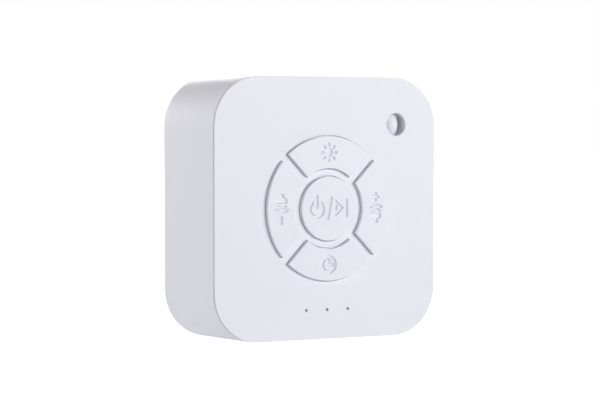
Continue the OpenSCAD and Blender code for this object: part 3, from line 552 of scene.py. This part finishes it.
def build_weave(kit, given, out, where):
    """Crossed threads, each rounded, with uneven dye. Each thread is painted lighter on its crest and
    darker towards the hollows between threads, as painted light and shade.
    """
    warp, weft = (bands(kit, where, given["Grain scale"], 0.4, axis) for axis in "XZ")
    threads = kit.math("MAXIMUM", warp, weft)
    dye = noise(kit, where, DYE_SCALE, 3.0)
    # painted highlight on the thread crests and painted shade in the hollows between them; the dye term
    # is the cloth's own unevenness
    tone = kit.sum(0.8, kit.math("MULTIPLY", threads, 0.3), centred(kit, dye, given["Tone swing"]))
    put_surface(kit, given, out, tone, swung_roughness(kit, given, threads), threads)


def build_circuit(kit, given, out, where):
    """Copper tracks under the solder mask, with tinned spots."""
    upright = kit.add("ShaderNodeMapping", {"Vector": where, "Rotation": (math.pi / 2, 0, 0)})
    cells = kit.add("ShaderNodeTexBrick", {
        "Vector": upright.outputs[0], "Scale": given["Grain scale"], "Mortar Size": 0.05,
        "Mortar Smooth": 0.1, "Color1": (0, 0, 0, 1), "Color2": (0, 0, 0, 1), "Mortar": (1, 1, 1, 1),
        "Brick Width": 0.9, "Row Height": 0.35}, offset=0.37, squash=1.0)
    tracks = cells.outputs["Fac"]
    glass = noise(kit, where, GLASS_SCALE, 2.0)
    tone = kit.sum(0.95, kit.math("MULTIPLY", tracks, 0.5), centred(kit, glass, given["Tone swing"]))
    put_surface(kit, given, out, tone, swung_roughness(kit, given, glass), tracks)


def build_winding(kit, given, out, where):
    """Turns of fine wire laid side by side along Y, painted lighter on each turn's crest and darker
    between turns as painted light and shade.
    """
    turns = bands(kit, where, given["Grain scale"], 0.1, "Y")
    # painted highlight on each turn's crest and painted shade in the grooves between turns
    tone = kit.math("ADD", 0.7, kit.math("MULTIPLY", turns, 0.5))
    put_surface(kit, given, out, tone, swung_roughness(kit, given, turns), turns)


SURFACES = {name: surface_group(name, GRAIN_INPUTS, SURFACE_OUTPUTS, build) for name, build in [
    ("moulded_grain", build_moulded), ("brushed_lines", build_brushed), ("woven_threads", build_weave),
    ("circuit_tracks", build_circuit), ("fine_winding", build_winding)]}


def material(name, surface, colour, tone=0.03, rough=0.5, rough_swing=0.06, scale=4000.0,
             bump=0.15, relief=0.00001, **sockets):
    """A Principled material whose colour, roughness and relief come from one of the shared surfaces."""
    mat = bpy.data.materials.new(name)
    mat.use_nodes = True
    kit = Nodes(mat.node_tree)
    shader = mat.node_tree.nodes["Principled BSDF"]
    group = kit.add("ShaderNodeGroup", node_tree=SURFACES[surface])
    for title, value in zip([i[0] for i in GRAIN_INPUTS], (colour, tone, rough, rough_swing, scale)):
        group.inputs[title].default_value = value
    kit.put(group.outputs["Colour"], shader.inputs["Base Color"])
    kit.put(group.outputs["Roughness"], shader.inputs["Roughness"])
    lift = kit.add("ShaderNodeBump", {
        "Height": group.outputs["Height"], "Strength": bump, "Distance": relief})
    kit.put(lift.outputs[0], shader.inputs["Normal"])
    for title, value in sockets.items():
        shader.inputs[title.replace("_", " ")].default_value = value
    return mat


SHELL_WHITE = linear(232, 231.5, 239.5)
# name, surface, colour, tone swing, roughness and its swing, grain scale, bump and its relief in metres
MATERIALS = {
    "panel_plastic": material(
        "satin_panel_plastic", "moulded_grain", SHELL_WHITE, 0.012, 0.48, 0.05, 5200),
    "case_plastic": material(
        "satin_case_plastic", "moulded_grain", SHELL_WHITE, 0.016, 0.5, 0.05, 4600),
    "key_plastic": material("satin_key_plastic", "moulded_grain", SHELL_WHITE, 0.01, 0.45, 0.04, 6000),
    "window_plastic": material(
        "frosted_window_plastic", "moulded_grain", linear(241, 236, 224), 0.02, 0.34, 0.06, 7000,
        Subsurface_Weight=0.25, Subsurface_Scale=0.002),
    "guide_plastic": material(
        "smoked_guide_plastic", "moulded_grain", linear(96, 96, 104), 0.04, 0.2, 0.05, 3000,
        Coat_Weight=0.3),
    "pad_rubber": material(
        "pale_pad_rubber", "moulded_grain", linear(206, 206, 212), 0.05, 0.78, 0.08, 3200, 0.35,
        0.00003),
    "dark_plastic": material(
        "matt_black_plastic", "moulded_grain", linear(46, 46, 50), 0.08, 0.55, 0.08, 3800, 0.2),
    "light_plastic": material(
        "ivory_nylon", "moulded_grain", linear(232, 227, 212), 0.04, 0.42, 0.06, 3600),
    "board_green": material(
        "green_solder_mask", "circuit_tracks", linear(38, 104, 62), 0.2, 0.32, 0.1, 330, 0.4, 0.00004,
        Coat_Weight=0.3),
    "board_white": material(
        "white_solder_mask", "circuit_tracks", linear(236, 236, 234), 0.05, 0.32, 0.08, 330, 0.3,
        0.00003),
    "lamp_resin": material(
        "phosphor_resin", "moulded_grain", linear(244, 222, 132), 0.05, 0.2, 0.05, 5000,
        Coat_Weight=0.5),
    "steel": material(
        "zinc_plated_steel", "brushed_lines", linear(172, 174, 176), 0.12, 0.34, 0.15, 2600, 0.2,
        Metallic=1.0),
    "shell_steel": material(
        "bright_shell_steel", "brushed_lines", linear(198, 200, 202), 0.06, 0.22, 0.12, 3200, 0.12,
        Metallic=1.0),
    "basket_steel": material(
        "black_basket_coat", "moulded_grain", linear(52, 53, 57), 0.1, 0.42, 0.1, 1800, 0.3, 0.00002),
    "ferrite": material(
        "fired_ferrite", "moulded_grain", linear(60, 60, 63), 0.25, 0.62, 0.15, 1500, 0.5, 0.00004),
    "copper": material(
        "enamelled_copper", "fine_winding", linear(182, 106, 60), 0.1, 0.3, 0.1, 1500, 0.6, 0.00006,
        Metallic=0.8),
    "tag_brass": material(
        "tinned_tag_strip", "brushed_lines", linear(196, 158, 96), 0.15, 0.38, 0.12, 2200, 0.2,
        Metallic=0.7),
    "cone_paper": material(
        "pressed_cone_paper", "moulded_grain", linear(50, 50, 53), 0.3, 0.85, 0.1, 900, 0.7, 0.00008),
    "surround_rubber": material(
        "black_surround_rubber", "moulded_grain", linear(34, 34, 37), 0.1, 0.6, 0.1, 2400, 0.3),
    "spider_cloth": material(
        "resin_dipped_cloth", "woven_threads", linear(204, 164, 82), 0.2, 0.7, 0.1, 900, 0.7, 0.00008),
    "foam": material(
        "closed_cell_foam", "moulded_grain", linear(66, 66, 69), 0.3, 0.9, 0.05, 1300, 0.9, 0.0001),
    "grille_felt": material(
        "black_grille_felt", "woven_threads", linear(36, 36, 39), 0.3, 0.95, 0.05, 700, 0.9, 0.00008,
        Sheen_Weight=0.4),
    "cell_wrap": material(
        "blue_shrink_sleeve", "moulded_grain", linear(52, 112, 182), 0.05, 0.28, 0.08, 600, 0.3,
        0.00005, Coat_Weight=0.4),
    "wire_red": material(
        "red_wire_insulation", "moulded_grain", linear(168, 36, 36), 0.08, 0.38, 0.08, 1500, 0.2),
    "wire_black": material(
        "black_wire_insulation", "moulded_grain", linear(44, 44, 48), 0.08, 0.38, 0.08, 1500, 0.2),
    "wire_white": material(
        "grey_wire_insulation", "moulded_grain", linear(206, 206, 208), 0.05, 0.38, 0.08, 1500, 0.2),
}

# Every solid that stays takes the finish of its slot.
for part in frame["record"]["subparts"]:
    node = NODES[part["node"]]
    node.data.materials.clear()
    node.data.materials.append(MATERIALS[part["material_slot"]])


# ------------------------------------------------------------------ engraved symbols
# Signed distances on arrays of points, negative inside a stroke.

def bar(x, z, cx, cz, w, h, turn=0.0):
    c, s = math.cos(math.radians(turn)), math.sin(math.radians(turn))
    u, v = (x - cx) * c + (z - cz) * s, -(x - cx) * s + (z - cz) * c
    du, dv = np.abs(u) - w / 2, np.abs(v) - h / 2
    return np.minimum(np.maximum(du, dv), 0) + np.hypot(np.maximum(du, 0), np.maximum(dv, 0))


def ring(x, z, cx, cz, outer, width):
    return np.abs(np.hypot(x - cx, z - cz) - (outer - width / 2)) - width / 2


def triangle(x, z, corners):
    """Distance to a filled triangle, whose corners run anticlockwise."""
    inside, near = None, None
    for i in range(3):
        (ax, az), (bx, bz) = corners[i], corners[(i + 1) % 3]
        ex, ez = bx - ax, bz - az
        length = math.hypot(ex, ez)
        side = ((x - ax) * ez - (z - az) * ex) / length
        t = np.clip(((x - ax) * ex + (z - az) * ez) / length ** 2, 0, 1)
        gap = np.hypot(x - ax - t * ex, z - az - t * ez)
        inside = side if inside is None else np.maximum(inside, side)
        near = gap if near is None else np.minimum(near, gap)
    return np.where(inside > 0, near, -near)


def union(*parts):
    out = parts[0]
    for part in parts[1:]:
        out = np.minimum(out, part)
    return out


def power_symbol(x, z):
    w = STROKE_W
    z = z - 0.2
    cut = bar(x, z, -5.4, 2.4, 3.4, 3.45)
    open_ring = np.maximum(ring(x, z, -5.45, -0.4, 3.4, w), -cut)
    slash_turn = math.degrees(math.atan2(8.6, 1.9))
    arrow = triangle(x, z, [(2.85, -3.2), (6.5, 0.0), (2.85, 3.2)])
    return union(open_ring, bar(x, z, -5.35, 2.5, w, 4.83), bar(x, z, 0.35, -0.1, 8.81, w, slash_turn),
                 np.maximum(arrow, -(arrow + w)), bar(x, z, 8.1, 0, w, 7.0))


def sun_symbol(x, z):
    rays = [bar(x, z, 2.92 * math.cos(a), 2.92 * math.sin(a), 1.37, 0.8 * STROKE_W, math.degrees(a))
            for a in np.radians(np.arange(0, 360, 45))]
    return union(np.hypot(x, z) - 1.45, *rays)


def clock_symbol(x, z):
    w = STROKE_W
    return union(ring(x, z, 0, 0, 3.3, w), bar(x, z, 0, 1.02, w, 2.05), bar(x, z, 0.8, 0, 2.5, w))


def sound_symbol(x, z):
    w = STROKE_W * 0.8
    horn = np.maximum(triangle(x, z, [(-6.6, 0.0), (-2.2, -3.6), (-2.2, 3.6)]),
                      bar(x, z, -3.3, 0, 2.0, 4.8))
    wedge = triangle(x, z, [(-4.6, 0.0), (3.4, -5.0), (3.4, 5.0)])
    waves = np.maximum(union(ring(x, z, -4.4, 0, 4.1, w), ring(x, z, -4.4, 0, 5.7, w)), wedge)
    return union(bar(x, z, -4.9, 0, 1.6, 2.0), horn, waves)


def volume_symbol(plus):
    def symbol(x, z):
        level = bar(x, z, 4.2, 0, 3.2, STROKE_W)
        return union(sound_symbol(x, z), level, *([bar(x, z, 4.2, 0, STROKE_W, 3.2)] if plus else []))
    return symbol


def engraved_patch(shell, symbol, middle, turn, half_x, half_z, depth, cell=0.09, soft=0.14):
    """A fine grid on the key's top that dips into the strokes, with soft edges."""
    nx, nz = round(2 * half_x / cell), round(2 * half_z / cell)
    xs, zs = np.linspace(-half_x, half_x, nx + 1), np.linspace(-half_z, half_z, nz + 1)
    gx, gz = np.meshgrid(xs, zs)
    c, s = math.cos(math.radians(turn)), math.sin(math.radians(turn))
    away = symbol(gx * c + gz * s, -gx * s + gz * c)
    ramp = np.clip((soft - away) / (2 * soft), 0, 1)
    sunk = ENGRAVE_T * ramp * ramp * (3 - 2 * ramp)
    sunk[0, :] = sunk[-1, :] = sunk[:, 0] = sunk[:, -1] = 0        # the border stays in the top
    ids = np.arange(gx.size).reshape(gx.shape) + len(shell.points)
    shell.points += [(middle[0] + px, FRONT + depth + dy, middle[1] + pz)
                     for px, pz, dy in zip(gx.ravel(), gz.ravel(), sunk.ravel())]
    corners = (ids[:-1, :-1], ids[:-1, 1:], ids[1:, 1:], ids[1:, :-1])
    shell.faces += [tuple(int(i) for i in face) for face in zip(*(ids.ravel() for ids in corners))]


# ------------------------------------------------------------------ keys

def make_key(name, outline, symbol, middle, turn, half_x, half_z):
    """One key with its flange and post. The symbol is turned on a patch of that half size."""
    shell = Shell()
    top = -KEY_RISE
    step = GROOVE_W - STEP_GAP
    wall = shell.sweep(outline, outer_edge(0, top, KEY_EDGE_R))[-1]
    extra = GROOVE_DEEP - GROOVE_SHALLOW
    for grow in (0, step):
        groove = shell.add_loop([
            (x + grow * nx, FRONT + GROOVE_SHALLOW + extra * nx * nx, z + grow * nz)
            for x, z, nx, nz in outline])
        shell.band(wall, groove)
        wall = groove
    rim, flange_front = KEY_GAP + FLANGE_W, KEY_BACK - FLANGE_T
    flange = shell.sweep(outline, [(step, flange_front), (rim, flange_front), (rim, KEY_BACK)])
    shell.band(wall, flange[0])
    engraved_patch(shell, symbol, middle, turn, half_x, half_z, top)
    shell.sweep(circle(*middle, KEY_POST_R, BOSS_SIDES), [(0, KEY_BACK), (0, KEY_POST_END)])
    for depth in (top, KEY_BACK, KEY_POST_END):
        shell.cap(1, FRONT + depth)
    piece(name + "_cap", shell, name, "key_plastic", name)


def power_outline():
    return circle(0, PATTERN_Z, CENTRE_R, KEY_SIDES)


make_key("power_key", power_outline(), power_symbol, (0, PATTERN_Z), 0, 10.0, 5.4)
# name, direction from the middle, symbol, the symbol's turn, half size of its patch
RING_KEYS = [
    ("light_key", 90, sun_symbol, 0, 4.2, 4.2),
    ("timer_key", 270, clock_symbol, 0, 3.8, 3.8),
    ("volume_down_key", 180, volume_symbol(False), -90, 4.6, 6.2),
    ("volume_up_key", 0, volume_symbol(True), 90, 4.6, 6.2),
]
for name, turn, symbol, symbol_turn, half_x, half_z in RING_KEYS:
    way = math.radians(turn)
    spot = (SYMBOL_REACH * math.cos(way), PATTERN_Z + SYMBOL_REACH * math.sin(way))
    make_key(name, sector_outline(turn), symbol, spot, symbol_turn, half_x, half_z)


# ------------------------------------------------------------------ front panel

def add_eyelet(shell):
    """The hole for a strap, from its rounded mouth into the hollow and back outside the collar."""
    hollow, outside = HOLLOW_R - EYELET_R, COLLAR_R - EYELET_R
    mouth = opening_edge(0, 0, MOUTH_R, steps=7)
    shell.sweep(circle(EYELET_X, EYELET_Z, EYELET_R, EYELET_SIDES), mouth + [
        (0, NECK_END), (hollow / 2, NECK_FLARE), (hollow, HOLLOW_START), (hollow, COLLAR_DEPTH),
        (outside, COLLAR_DEPTH), (outside, PANEL_T)])


def add_strap_bar(shell):
    """The flattened, arched bar that the strap goes round."""
    deepest = COLLAR_DEPTH - BAR_BACK_ROOM
    loops = []
    for i in range(BAR_ROWS + 1):
        along = -BAR_HALF_L + 2 * BAR_HALF_L * i / BAR_ROWS
        drop = BAR_ARCH * (1 - math.cos(math.pi / 2 * min(abs(along) / EYELET_R, 1)))
        loops.append(shell.add_loop([
            (BAR_X + BAR_HALF_W * math.cos(a),
             FRONT + min(BAR_DEPTH + drop + BAR_HALF_T * math.sin(a), deepest), EYELET_Z + along)
            for a in np.linspace(0, 2 * math.pi, ROUND_SIDES + 1)[:-1]]))
    shell.closed_tube(loops)


def make_front_panel():
    shell = Shell()
    tongue = -(WALL + TONGUE_GAP)
    shell.sweep(body_outline(), outer_edge(0, 0, PANEL_EDGE_R)
                + [(0, LIP_T), (tongue, LIP_T), (tongue, PANEL_T)])
    for outline in [sector_outline(turn) for turn in (90, 180, 270, 0)] + [power_outline()]:
        shell.sweep(outline, opening_edge(GROOVE_W, 0, OPENING_EDGE_R) + [(GROOVE_W, PANEL_T)])
    for i in (-1, 0, 1):
        shell.sweep(circle(i * INDICATOR_PITCH, INDICATOR_Z, INDICATOR_R, HOLE_SIDES),
                    opening_edge(0, 0, INDICATOR_EDGE_R) + [(0, PANEL_T)])
    add_eyelet(shell)
    for x, z in CASE_SCREWS:
        shell.boss(x, z, POST_R, CASE_PILOT, PANEL_T, POST_END, CASE_PILOT_END)
    for x, z in KEY_BOARD_BOSSES:
        shell.boss(x, z, BOSS_R, BOSS_PILOT, PANEL_T, KEY_BOARD_DEPTH, KEY_PILOT_END)
    add_strap_bar(shell)
    shell.cap(1, FRONT)
    shell.cap(1, FRONT + PANEL_T)
    piece("front_panel_moulding", shell, "case", "panel_plastic", "front_panel")


make_front_panel()


# ------------------------------------------------------------------ housing

def slot_rim(shell, outline, place, surface, inside):
    """Rounded mouth and straight wall of a slot that goes through a side wall."""
    profile = opening_edge(0, 0, SMALL_EDGE_R) + [(0, surface - inside)]
    shell.tube([shell.add_loop([place(u + g * nu, v + g * nv, surface - d) for u, v, nu, nv in outline])
                for g, d in profile])


def add_side_walls(shell):
    """The walls and the rounded rear edge, with slots through the flat top and the right side."""
    outline = body_outline()
    slotted = (BODY_CORNER_STEPS, len(outline) - 1)
    start = LIP_T + SEAM_W
    front = outer_edge(0, start, SMALL_EDGE_R)[1:]
    rear = []
    for i in range(REAR_STEPS + 1):
        a = math.pi / 2 * i / REAR_STEPS
        rear.append((-REAR_EDGE_R + REAR_EDGE_R * math.cos(a),
                     BODY_D - REAR_EDGE_R + REAR_EDGE_R * math.sin(a)))
    rear.append((-REAR_EDGE_R - REAR_SUPPORT, BODY_D))
    shell.sweep(outline, [(-WALL, start)] + front + rear, len(front), slotted)
    inside = [(-WALL, start), (-WALL, BACK_INSIDE - INNER_SUPPORT), (-WALL, BACK_INSIDE)]
    shell.sweep(outline, inside, 0, slotted)
    slot_rim(shell, pill(WINDOW_L, WINDOW_W), lambda u, v, h: (u, FRONT + WINDOW_DEPTH + v, h),
             BODY_H, BODY_H - WALL)
    slot_rim(shell, pill(INLET_W, INLET_T), lambda u, v, h: (h, FRONT + INLET_DEPTH + v, INLET_Z + u),
             BODY_W / 2, BODY_W / 2 - WALL)
    for axis, surface in ((2, BODY_H), (0, BODY_W / 2)):
        shell.cap(axis, surface)
        shell.cap(axis, surface - WALL)


def add_back_wall(shell):
    """The grille, the pads' recesses with the screw tubes behind them, and the bosses."""
    rim = [(g, BODY_D + d) for g, d in mirrored(opening_edge(0, 0, SMALL_EDGE_R), 0)]
    head, shank, tube = (r - PAD_RECESS_R for r in (CASE_HEAD_BORE, CASE_SHANK_BORE, TUBE_R))
    web_front = CASE_SEAT - CASE_WEB
    for x, z in CASE_SCREWS:
        shell.sweep(circle(x, z, PAD_RECESS_R), rim + [
            (0, PAD_SEAT), (head, PAD_SEAT), (head, CASE_SEAT), (shank, CASE_SEAT), (shank, web_front),
            (tube, web_front), (tube, BACK_INSIDE)])
    for bosses, end, floor in ((SPEAKER_BOSSES, SPEAKER_BOSS_END, SPEAKER_PILOT_END),
                               (MAIN_BOARD_BOSSES, MAIN_BOARD_BACK, MAIN_PILOT_END)):
        for x, z in bosses:
            shell.boss(x, z, BOSS_R, BOSS_PILOT, BACK_INSIDE, end, floor)
    shell.extend(grown(perforation_tree(), "perforations", Rings=GRILLE_RINGS, Pitch=GRILLE_PITCH * MM,
                       Hole_radius=GRILLE_HOLE_R * MM, Mouth_rounding=SMALL_EDGE_R * MM, Wall=WALL * MM,
                       Sides=GRILLE_SIDES, Centre=(0.0, (FRONT + BODY_D) * MM, SPEAKER_Z * MM),
                       Material=MATERIALS["case_plastic"]))
    shell.cap(1, FRONT + BODY_D)
    shell.cap(1, FRONT + BACK_INSIDE)


def add_shelf_and_cradle(shell):
    """The lamp shelf and the battery cradle, each a closed form let into the wall."""
    y0, y1 = FRONT + SHELF_FRONT, FRONT + BACK_INSIDE + LET_IN
    plan = ((-SHELF_HALF, y0), (SHELF_HALF, y0), (SHELF_HALF, y1), (-SHELF_HALF, y1))
    shell.closed_tube([shell.add_loop([(x, y, z) for x, y in plan])
                       for z in (SHELF_TOP - SHELF_T, SHELF_TOP)])
    bed = CELL_R + CELL_BED
    low, back = WALL - LET_IN, BACK_INSIDE + LET_IN
    curve = [(CELL_DEPTH, low), (back, low), (back, CELL_Z + CELL_R)]
    top = math.asin(CELL_R / bed)
    for i in range(BED_STEPS + 1):
        a = top - (top + math.pi / 2) * i / BED_STEPS
        curve.append((CELL_DEPTH + bed * math.cos(a), CELL_Z + bed * math.sin(a)))
    for x in (-CRADLE_X, CRADLE_X):
        shell.closed_tube([shell.add_loop([(x + s * CRADLE_T / 2, FRONT + d, z) for d, z in curve])
                           for s in (-1, 1)])


def make_housing():
    shell = Shell()
    add_side_walls(shell)
    add_back_wall(shell)
    add_shelf_and_cradle(shell)
    piece("housing_moulding", shell, "case", "case_plastic", "housing")


make_housing()


# ------------------------------------------------------------------ lamp window and pads

def make_lamp_window():
    """The frosted lens in the top, with the flange that holds it from inside."""
    shell = Shell()
    profile = outer_edge(-WINDOW_SLIP, 0, SMALL_EDGE_R) + [
        (-WINDOW_SLIP, WALL), (WINDOW_FLANGE, WALL), (WINDOW_FLANGE, WALL + WINDOW_FLANGE_T)]
    shell.closed_tube([shell.add_loop([
        (u + g * nu, FRONT + WINDOW_DEPTH + v + g * nv, BODY_H - d)
        for u, v, nu, nv in pill(WINDOW_L, WINDOW_W, steps=16)]) for g, d in profile])
    piece("lamp_window_lens", shell, "case", "window_plastic", "lamp_window")


def make_pads():
    shell = Shell()
    shell.extend(grown(
        pad_tree(), "pads", Spacing_X=2 * SCREW_X * MM, Spacing_Z=(SCREW_Z[1] - SCREW_Z[0]) * MM,
        Radius=PAD_R * MM, Thickness=PAD_T * MM, Rim_rounding=PAD_EDGE_R * MM, Sides=ROUND_SIDES,
        Centre=(0.0, (FRONT + PAD_SEAT) * MM, BODY_H / 2 * MM), Material=MATERIALS["pad_rubber"]))
    piece("rubber_pads", shell, "case", "pad_rubber", "foot_pads")


make_lamp_window()
make_pads()


# ------------------------------------------------------------------ floor, light and camera

WHITE = (1, 1, 1, 1)
FLOOR_TONE = (0.86, 0.86, 0.87, 1)
FLOOR_HALF, FLOOR_DROP = 6, 0.00005         # metres
# Glow of the floor that the camera sees near the object, how far that reaches in metres before it rises
# to white, and the light that the floor and the sky give the object.
FLOOR_GLOW, FLOOR_REACH, FLOOR_BOUNCE, SKY = 0.84, 0.12, 0.12, 0.06


def seen_rays(kit):
    """1 for what the camera sees, also in reflections and through clear pieces, and otherwise 0."""
    rays = kit.add("ShaderNodeLightPath").outputs
    indirect = kit.math("MAXIMUM", rays["Is Glossy Ray"], rays["Is Transmission Ray"])
    return kit.math("MAXIMUM", rays["Is Camera Ray"], indirect)


def floor_material():
    """White to the camera and to reflections, with the object's shadow. It also throws the light of its
    lit surroundings up at the object."""
    mat = bpy.data.materials.new("studio_floor")
    mat.use_nodes = True
    kit = Nodes(mat.node_tree)
    mat.node_tree.nodes.clear()
    sees = seen_rays(kit)
    where = kit.add("ShaderNodeTexCoord").outputs["Object"]
    away = kit.add("ShaderNodeVectorMath", {0: where}, operation="LENGTH").outputs["Value"]
    lift = kit.add("ShaderNodeMapRange", {
        "Value": away, "From Min": FLOOR_REACH, "From Max": 3 * FLOOR_REACH,
        "To Min": FLOOR_GLOW, "To Max": 1.0}).outputs[0]
    glow_to_eye = kit.math("MULTIPLY", sees, kit.math("SUBTRACT", lift, FLOOR_BOUNCE))
    strength = kit.math("ADD", glow_to_eye, FLOOR_BOUNCE)
    glow = kit.add("ShaderNodeEmission", {"Color": WHITE, "Strength": strength})
    dull = kit.add("ShaderNodeBsdfDiffuse", {"Color": FLOOR_TONE})
    both = kit.add("ShaderNodeAddShader", {0: glow.outputs[0], 1: dull.outputs[0]})
    kit.add("ShaderNodeOutputMaterial", {"Surface": both.outputs[0]})
    return mat


floor_mesh = bpy.data.meshes.new("floor")
floor_mesh.from_pydata([(x * FLOOR_HALF, z * FLOOR_HALF, -FLOOR_DROP)
                        for x, z in ((-1, -1), (1, -1), (1, 1), (-1, 1))], [], [(0, 1, 2, 3)])
floor = bpy.data.objects.new("floor", floor_mesh)
bpy.context.scene.collection.objects.link(floor)
floor_mesh.materials.append(floor_material())

world = bpy.data.worlds.new("studio")
bpy.context.scene.world = world
world.use_nodes = True
sky = Nodes(world.node_tree)
world.node_tree.nodes.clear()
level = sky.math("MULTIPLY_ADD", seen_rays(sky), 1.0 - SKY, SKY)
back = sky.add("ShaderNodeBackground", {"Color": WHITE, "Strength": level})
sky.add("ShaderNodeOutputWorld", {"Surface": back.outputs[0]})


def softbox(name, azimuth, elevation, distance, size, level):
    """A round lamp aimed at the middle of the object, with angles in degrees and lengths in metres.

    Azimuth 0 is in front of the object and grows towards its left side. Level 1 shows a facing white
    surface as white."""
    data = bpy.data.lights.new(name, "AREA")
    data.shape = "DISK"
    data.size = size
    data.energy = level * math.pi ** 2 * distance ** 2
    lamp = bpy.data.objects.new(name, data)
    a, e = math.radians(azimuth), math.radians(elevation)
    way = Vector((-math.sin(a) * math.cos(e), -math.cos(a) * math.cos(e), math.sin(e)))
    lamp.location = Vector((0, 0, BODY_H / 2 * MM)) + way * distance
    lamp.rotation_euler = way.to_track_quat("Z", "Y").to_euler()
    bpy.context.scene.collection.objects.link(lamp)


# name, azimuth, elevation, distance, size, level
LAMPS = [
    ("key_light", -43, 10, 1.8, 0.6, 0.41),
    ("front_fill", 16, 10, 1.8, 0.42, 0.32),
    ("left_fill", 60, 9, 3.0, 0.7, 0.04),
    ("side_fill", 105, 9, 3.0, 0.7, 0.298),
    ("top_light", 160, 72, 3.0, 1.0, 0.1),
    ("rear_light", -150, 20, 3.0, 1.0, 0.25),
    ("rear_fill", 165, 12, 3.0, 1.0, 0.15),
]
for lamp in LAMPS:
    softbox(*lamp)

# metres, degrees and, for the lens, millimetres
CAMERA_PLACE, CAMERA_TILT, CAMERA_HEADING = (-0.5109, -0.8025, 0.0805), 88.148, -32.468
FOCAL_LENGTH, SENSOR_WIDTH = 146.98, 36.0
camera_data = bpy.data.cameras.new("camera")
camera_data.sensor_width = SENSOR_WIDTH
camera_data.lens = FOCAL_LENGTH
camera = bpy.data.objects.new("camera", camera_data)
camera.location = CAMERA_PLACE
camera.rotation_euler = (math.radians(CAMERA_TILT), 0.0, math.radians(CAMERA_HEADING))
bpy.context.scene.collection.objects.link(camera)
bpy.context.scene.camera = camera
bpy.context.scene.view_settings.view_transform = "Standard"
